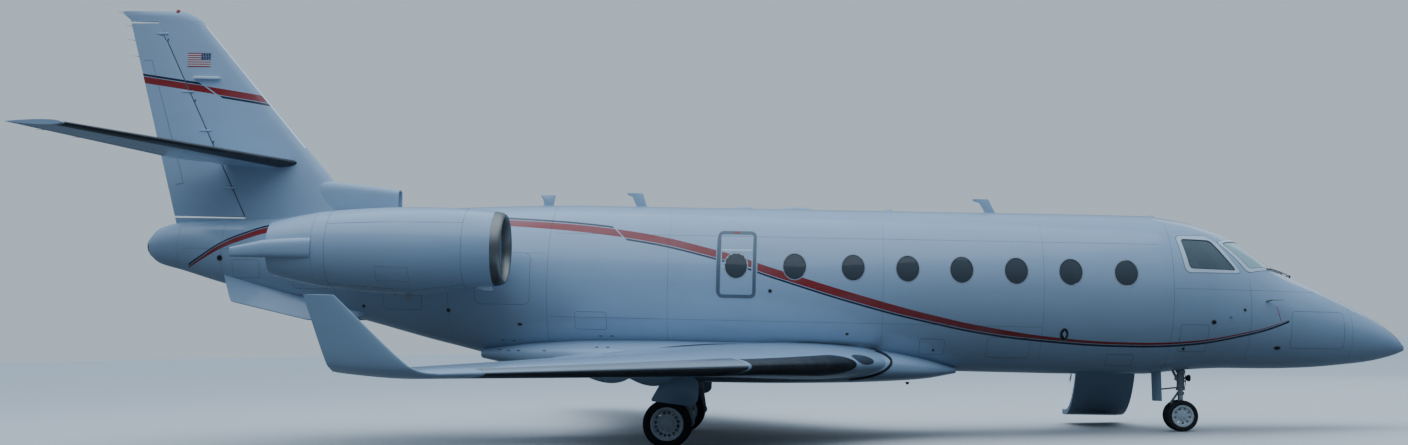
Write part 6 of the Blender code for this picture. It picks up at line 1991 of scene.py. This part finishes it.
# %% Fin paint
# Band: two places (x, z) on its middle, half its width, and the cut's two ends.
FIN_BAND = ((-9.290, 5.183), (-7.410, 4.907), 0.050)
FIN_CUT = ((-8.412, 5.125), (-8.155, 4.950))
FIN_CUT_HALF, FIN_LINE_WIDTH = 0.016, LINE_WIDTH * 1.2


def fin_paint():
    """White with the band, laid out in the aeroplane's level axes."""
    material = glossy_white("fin_paint")
    g = Graph(material.node_tree)
    vector = g.place(airborne=True)
    x, _y, z = g.axes(vector)
    (x1, z1), (x2, z2), half = FIN_BAND
    slope = (z2 - z1) / (x2 - x1)
    middle = g.math("ADD", g.math("MULTIPLY", g.math("SUBTRACT", x, x1), slope), z1)
    away = g.math("SUBTRACT", z, middle)
    (cx1, cz1), (cx2, cz2) = FIN_CUT
    steep = (cx2 - cx1) / (cz2 - cz1)
    cut_x = g.math("ADD", g.math("MULTIPLY", g.math("SUBTRACT", z, cz1), steep), cx1)
    slant = g.math("SUBTRACT", x, cut_x)
    visible = g.math("GREATER_THAN", g.math("ABSOLUTE", slant), FIN_CUT_HALF)
    colour = banded(g, away, half, slant, visible, FIN_LINE_WIDTH)
    return weathered(material, g, vector, colour, grime=0.25, gloss=0.20, change=0.14)


FIN_PAINT = fin_paint()
for name in ("fin_skin", "rudder_skin"):
    bpy.data.objects[name].data.materials[0] = FIN_PAINT
print("fin band slope", round((FIN_BAND[1][1] - FIN_BAND[0][1]) / (FIN_BAND[1][0] - FIN_BAND[0][0]), 3))

# %% [markdown]
# A small national flag patch lies on each side of the fin: stripes and a blue corner with pale
# dots. It is a thin plate, and its pattern is counted out from where a point lies on it. Round it
# are the small things of the fin: a slim lamp blade, the hinge fairings and the lines of the tab.

# %% Fin trim
FLAG_BOX = ((-8.660, -8.303), (5.392, 5.606))


def fin_side(x, z, side, lift=0.0):
    """A place on the fin's or rudder's side, seen at x and z."""
    row = between(FIN, z)
    share = (row[1] - x) / row[2]
    return Vector((x, side * (half_thickness(share, row[3]) * row[2] + lift), z))


def flag_paint():
    """Thirteen stripes, and a blue corner with rows of pale dots, at the end towards the nose."""
    material = new_material("flag_paint", (0.8, 0.8, 0.8), 0.4)
    g = Graph(material.node_tree)
    x, _y, z = g.axes(g.place(airborne=True))
    (x1, x2), (z1, z2) = FLAG_BOX
    across = g.math("DIVIDE", g.math("SUBTRACT", x2, x), x2 - x1)
    high = g.math("DIVIDE", g.math("SUBTRACT", z, z1), z2 - z1)
    stripe = g.math("MODULO", g.math("FLOOR", g.math("MULTIPLY", high, 13.0)), 2.0)
    colour = g.mix(g.math("LESS_THAN", stripe, 0.5), (0.72, 0.72, 0.72), (0.42, 0.03, 0.04))
    corner = g.math("MULTIPLY", g.math("LESS_THAN", across, 0.42), g.math("GREATER_THAN", high, 6 / 13))
    dot_x = g.math("SUBTRACT", g.math("FRACT", g.math("MULTIPLY", across, 14.0)), 0.5)
    dot_z = g.math("SUBTRACT", g.math("FRACT", g.math("MULTIPLY", high, 10.0)), 0.5)
    away = g.math("ADD", g.math("MULTIPLY", dot_x, dot_x), g.math("MULTIPLY", dot_z, dot_z))
    corner_colour = g.mix(g.math("LESS_THAN", away, 0.05), (0.02, 0.03, 0.12), (0.70, 0.70, 0.72))
    shader = material.node_tree.nodes["Principled BSDF"]
    g.feed(shader.inputs["Base Color"], g.mix(corner, colour, corner_colour))
    return material


# A slim lamp on each side of the fin, the heights of the hinge fairings, and the corners of the tab.
BLADE_X, BLADE_Y, BLADE_Z = (-8.545, -8.138), 0.145, (5.203, 5.240)
FAIRING_Z = (3.55, 4.42, 5.010, 5.90)
TAB_LINE, TAB_THICK = [(-9.232, 5.495), (-8.906, 4.425), (-8.660, 3.62)], 0.0022
TAB_ENDS = [((-9.232, 5.495), (-9.36, 5.49)), ((-8.660, 3.62), (-8.78, 3.60))]


def fin_rod(start, end, side):
    """A thin dark rod laid on the fin between two places."""
    return rod(fin_side(*start, side, 0.0006), fin_side(*end, side, 0.0006), TAB_THICK, 6)


(fx1, fx2), (fz1, fz2) = FLAG_BOX
flags, blades, fairings, tabs = [], [], [], []
for side in SIDES.values():
    heights = spread(fz1, fz2, 8)
    around = [(z, 0.0030) for z in heights] + [(z, -0.001) for z in heights[::-1]]
    flags.append(sweep([[fin_side(x, z, side, lift) for z, lift in around] for x in spread(fx1, fx2, 16)]))
    low, high = fin_side(BLADE_X[0], 5.218, side), fin_side(BLADE_X[1], 5.226, side)
    blades.append(block((low.x, min(low.y, side * BLADE_Y), BLADE_Z[0]),
                        (high.x, max(low.y, side * BLADE_Y), BLADE_Z[1]), 0.012))
    for z in FAIRING_Z:
        row = between(FIN, z)
        x = row[1] - FIN_HINGE * row[2]
        fairings.append(rod(fin_side(x + 0.10, z, side), fin_side(x - 0.09, z, side), 0.016, 20, 0.010))
    for (x1, z1), (x2, z2) in zip(TAB_LINE, TAB_LINE[1:]):
        for i in range(12):
            a, b = i / 12, (i + 1.02) / 12
            tabs.append(fin_rod((x1 + (x2 - x1) * a, z1 + (z2 - z1) * a),
                                (x1 + (x2 - x1) * b, z1 + (z2 - z1) * b), side))
    tabs += [fin_rod(*ends, side) for ends in TAB_ENDS]
piece("fin_flags", fittings(flags), flag_paint())
piece("fin_blades", fittings(blades), FRAME_WHITE)
piece("hinge_fairings", fittings(fairings), PLAIN_PAINT)
piece("rudder_tab_lines", fittings(tabs), LINE_GREY, body="rudder_surface")
print("flag", round(fx2 - fx1, 3), "by", round(fz2 - fz1, 3), "m")

# %% [markdown]
# A dark gap shows where the rudder meets the fin, with hinge marks across it. The gap's line stays on
# the fin, and the short lines of the rudder's horn turn with the rudder.

# %% Rudder gap
HINGE_FOOT, HINGE_HEAD, HORN_Z = 3.125, 5.80, (5.865, 5.875)
HINGE_MARKS = (3.55, 4.24, 4.87, 5.010, 5.80)


def edge_x(z):
    """Where the fixed fin ends at a height."""
    row = between(FIN, z)
    outline = foil(row[2], row[3], FIN_HINGE, RUNNING)
    return row[1] - outline[len(FOIL_STEPS) + 1][0] + 0.008


def fin_run(start, end, width, side):
    """A dark line on the fin between two places."""
    return skin_line(straight(start, end, 20), width, side, 0.0012, fin_side)


gaps, horns = [], []
foot, head = edge_x(HINGE_FOOT), edge_x(HINGE_HEAD)
for side in SIDES.values():
    gaps.append(fin_run((foot, HINGE_FOOT), (head, HINGE_HEAD), 0.015, side))
    horns.append(fin_run((head - 0.020, HINGE_HEAD), (head - 0.045, HORN_Z[0]), 0.012, side))
    horns.append(fin_run((head - 0.045, HORN_Z[0]), (head - 0.110, HORN_Z[1]), 0.010, side))
    for z in HINGE_MARKS:
        x = edge_x(z)
        gaps.append(fin_run((x + 0.024, z + 0.022), (x + 0.008, z - 0.022), 0.024, side))
piece("rudder_gap_lines", fittings(gaps), LINE_GREY)
piece("rudder_horn_lines", fittings(horns), LINE_GREY, body="rudder_surface")
print("hinge marks on each side:", len(HINGE_MARKS))

# %% [markdown]
# The wing root: a black sealing line runs round the fairing where it meets the wing, and two dark
# lamp windows sit in the leading edge just outside the body.

# %% Wing root
# The sealing line, at stations and heights.
ROOT_LINE = [(-1.66, 1.220), (-1.242, 1.300), (-0.685, 1.355), (0.150, 1.385), (0.982, 1.385), (1.536, 1.370),
             (1.800, 1.330), (1.945, 1.260), (1.985, 1.180), (1.900, 1.075), (1.700, 0.985), (1.406, 0.925)]


def fairing_offset(x, z):
    """Half width of the belly fairing at a station and height."""
    half, top, bottom = (read_smooth(FAIRING, x, c) for c in (1, 2, 3))
    middle, reach = (top + bottom) / 2, (top - bottom) / 2
    high = min(1.0, abs(z - middle) / reach)
    return half * max(0.0, 1 - high**(2 / FAIRING_POWER))**(FAIRING_POWER / 2)


def fairing_side(x, z, side, lift=0.0):
    """A place on the belly fairing's side, seen at x and z."""
    return raised(fairing_offset, x, z, side, lift, 0.004)


roots = [skin_line(fine(ROOT_LINE, 8), 0.034, side, 0.004, fairing_side) for side in SIDES.values()]
piece("root_seals", fittings(roots), BLACK_TRIM)


def wing_place(y, s, side, lift):
    """A place on the wing's nose: s is 0 at the leading edge, positive above it, and squares to the chord."""
    row = between(WING, y)

    def spot(s):
        high = half_thickness(s * s, row[4]) * row[3] * (1 if s >= 0 else -1)
        return Vector((row[2] - s * s * row[3], high))
    way = (spot(s + 0.01) - spot(s - 0.01)).normalized()
    place = spot(s)
    return Vector((place.x + way.y * lift, side * y, row[1] + place.y - way.x * lift))


LAMP_Y, LAMP_HALF, LAMP_SHARE, LAMP_REACH = 1.665, 0.180, 0.100, 0.105
eyes = []
for side in SIDES.values():
    rings = []
    for t in spread(-0.99, 0.99, 24):
        reach = LAMP_REACH * (1 - t * t)**0.4
        shares = [LAMP_SHARE + reach * (2 * k / 16 - 1) for k in range(17)]
        rings.append([wing_place(LAMP_Y + LAMP_HALF * t, s, side, lift)
                      for lift, row in ((0.004, shares), (-0.004, shares[::-1])) for s in row])
    eyes.append(sweep(rings))
piece("wing_lamp_windows", fittings(eyes), CABIN_GLASS)
# Flush latches, each at a station and height.
LATCHES = [(-3.576, 1.367), (-3.410, 1.361), (-3.603, 1.228), (-3.447, 1.223), (-3.291, 1.227),
           (-2.897, 1.236), (-2.145, 1.457), (-1.977, 1.461), (-2.145, 1.303), (-1.991, 1.307),
           (-2.150, 1.155), (-2.014, 1.158)]


def outer_side(x, z, side, lift=0.0):
    """A place on the hull or on the belly fairing, whichever lies further out."""
    return max(on_side(x, z, side, lift), fairing_side(x, z, side, lift), key=lambda p: abs(p.y))


latches = []
for side in SIDES.values():
    latches += [skin_patch(rounded((x - 0.024, x + 0.024), (z - 0.005, z + 0.005), 0.003), side, 0.002,
                           outer_side) for x, z in LATCHES]
piece("latches", fittings(latches), BLACK_TRIM)
# Flap track fairings: span, front, back, top, depth and half width.
TRACKS = [(2.200, -0.950, -1.740, 1.035, 0.220, 0.065), (4.000, -1.350, -2.060, 1.065, 0.150, 0.050)]
canoes = []
for side in SIDES.values():
    for y, front, back, top, depth, half in TRACKS:
        rings = []
        for t in spread(0, 1, 24):
            share = max(0.04, sin(pi * t**0.75)**0.75)
            ring = box_ring(front + (back - front) * t, half * share, top, top - depth * share, 0.9, 24)
            rings.append([p + Vector((0, side * y, 0)) for p in ring])
        canoes.append(sweep(rings))
piece("track_fairings", fittings(canoes), PLAIN_PAINT)
# The exhaust's outline: distance along the axis and radius.
EXHAUST = [(0.020, 0.0), (0.030, 0.088), (-0.035, 0.092), (-0.040, 0.098), (-0.035, 0.106), (0.020, 0.112),
           (0.020, 0.0)]
piece("apu_exhaust", spun(EXHAUST, (-9.110, 0, 2.655), 48), HOT_METAL)
print("wing root line points:", len(ROOT_LINE))

# %% [markdown]
# The nacelles carry the joints of their cowl doors, a small scoop, a drain mast and latches.

# %% Nacelle trim
def cowl_radius(x):
    """Outer radius of the nacelle at a station."""
    rows = COWL_PROFILE if x > -5.95 else REAR_PROFILE
    return read_smooth(rows, x, 1)


def cowl_point(x, angle, side, lift=0.0):
    """A place on the nacelle at an angle from its outer side, upwards."""
    share = smooth((x - TIP_START) / TIP_REACH)
    r = cowl_radius(x) * (1 - INLET_SHRINK * share) + lift
    return Vector((x, side * (ENGINE_Y + r * cos(angle)), ENGINE_Z + r * sin(angle) + INLET_RISE * share))


def cowl_line(points, side, width):
    """A thin line along places (x, angle) of the nacelle."""
    lines = []
    for (x1, a1), (x2, a2) in zip(points, points[1:]):
        lines.append(rod(cowl_point(x1, a1, side, 0.0004), cowl_point(x2, a2, side, 0.0004), width / 2, 6))
    return fittings(lines)


# Stations of the cowl's joints, angles of its splits in degrees, and a hatch's corners (x, angle).
JOINTS, SPLITS = (-3.885, -5.76), (-62, 38, 118)
HATCH = [(-4.60, -0.42), (-5.05, -0.42), (-5.05, -0.80), (-4.60, -0.80)]
VANES = 28
for word, side in SIDES.items():
    lines = [cowl_line([(x, a) for a in spread(0, 2 * pi, 72)], side, 0.004) for x in JOINTS]
    for angle in SPLITS:
        line = straight((JOINTS[0], radians(angle)), (JOINTS[1], radians(angle)), 16)
        lines.append(cowl_line(line, side, 0.0035))
    outline = [p for a, b in zip(HATCH, HATCH[1:] + HATCH[:1]) for p in straight(a, b, 6)[:-1]]
    lines.append(cowl_line(outline + outline[:1], side, 0.003))
    piece(f"cowl_lines_{word}", fittings(lines), LINE_GREY)
    small = []
    for i in range(5):
        x = -4.10 - 0.36 * i
        spot = cowl_point(x, radians(SPLITS[0]), side, 0.001)
        small.append(block(spot - Vector((0.035, 0.006, 0.006)), spot + Vector((0.035, 0.006, 0.006)), 0.003))
    chin = cowl_point(-3.560, radians(-90), side, 0.0)
    wedge = [Vector((-3.820, chin.y, chin.z - 0.010)), Vector((-3.560, chin.y, chin.z + 0.045)),
             Vector((-3.545, chin.y, chin.z - 0.055)), Vector((-3.640, chin.y, chin.z - 0.050))]
    rings = [[p + Vector((0, y, 0)) for p in wedge] for y in (-0.055, -0.045, 0.045, 0.055)]
    piece(f"cowl_chin_{word}", sweep(rings), FRAME_WHITE)
    foot = cowl_point(-4.68, radians(-90), side, -0.02)
    small.append(block(foot + Vector((-0.045, -0.008, -0.11)), foot + Vector((0.035, 0.008, 0.02)), 0.006))
    small.append(rod(foot + Vector((-0.20, 0.03, 0.01)), foot + Vector((-0.22, 0.03, -0.055)), 0.009, 16))
    piece(f"cowl_fittings_{word}", fittings(small), STEEL)
    vanes = []
    for i in range(VANES):
        angle = 2 * pi * i / VANES
        vane = block((-4.62, -0.003, 0.292), (-4.50, 0.003, 0.482))
        vane.transform(Matrix.Translation((0, side * ENGINE_Y, ENGINE_Z)) @ Matrix.Rotation(angle, 4, "X"))
        vanes.append(vane)
    piece(f"stator_vanes_{word}", fittings(vanes), DUCT_METAL)
print("stator vanes in each nacelle:", VANES)
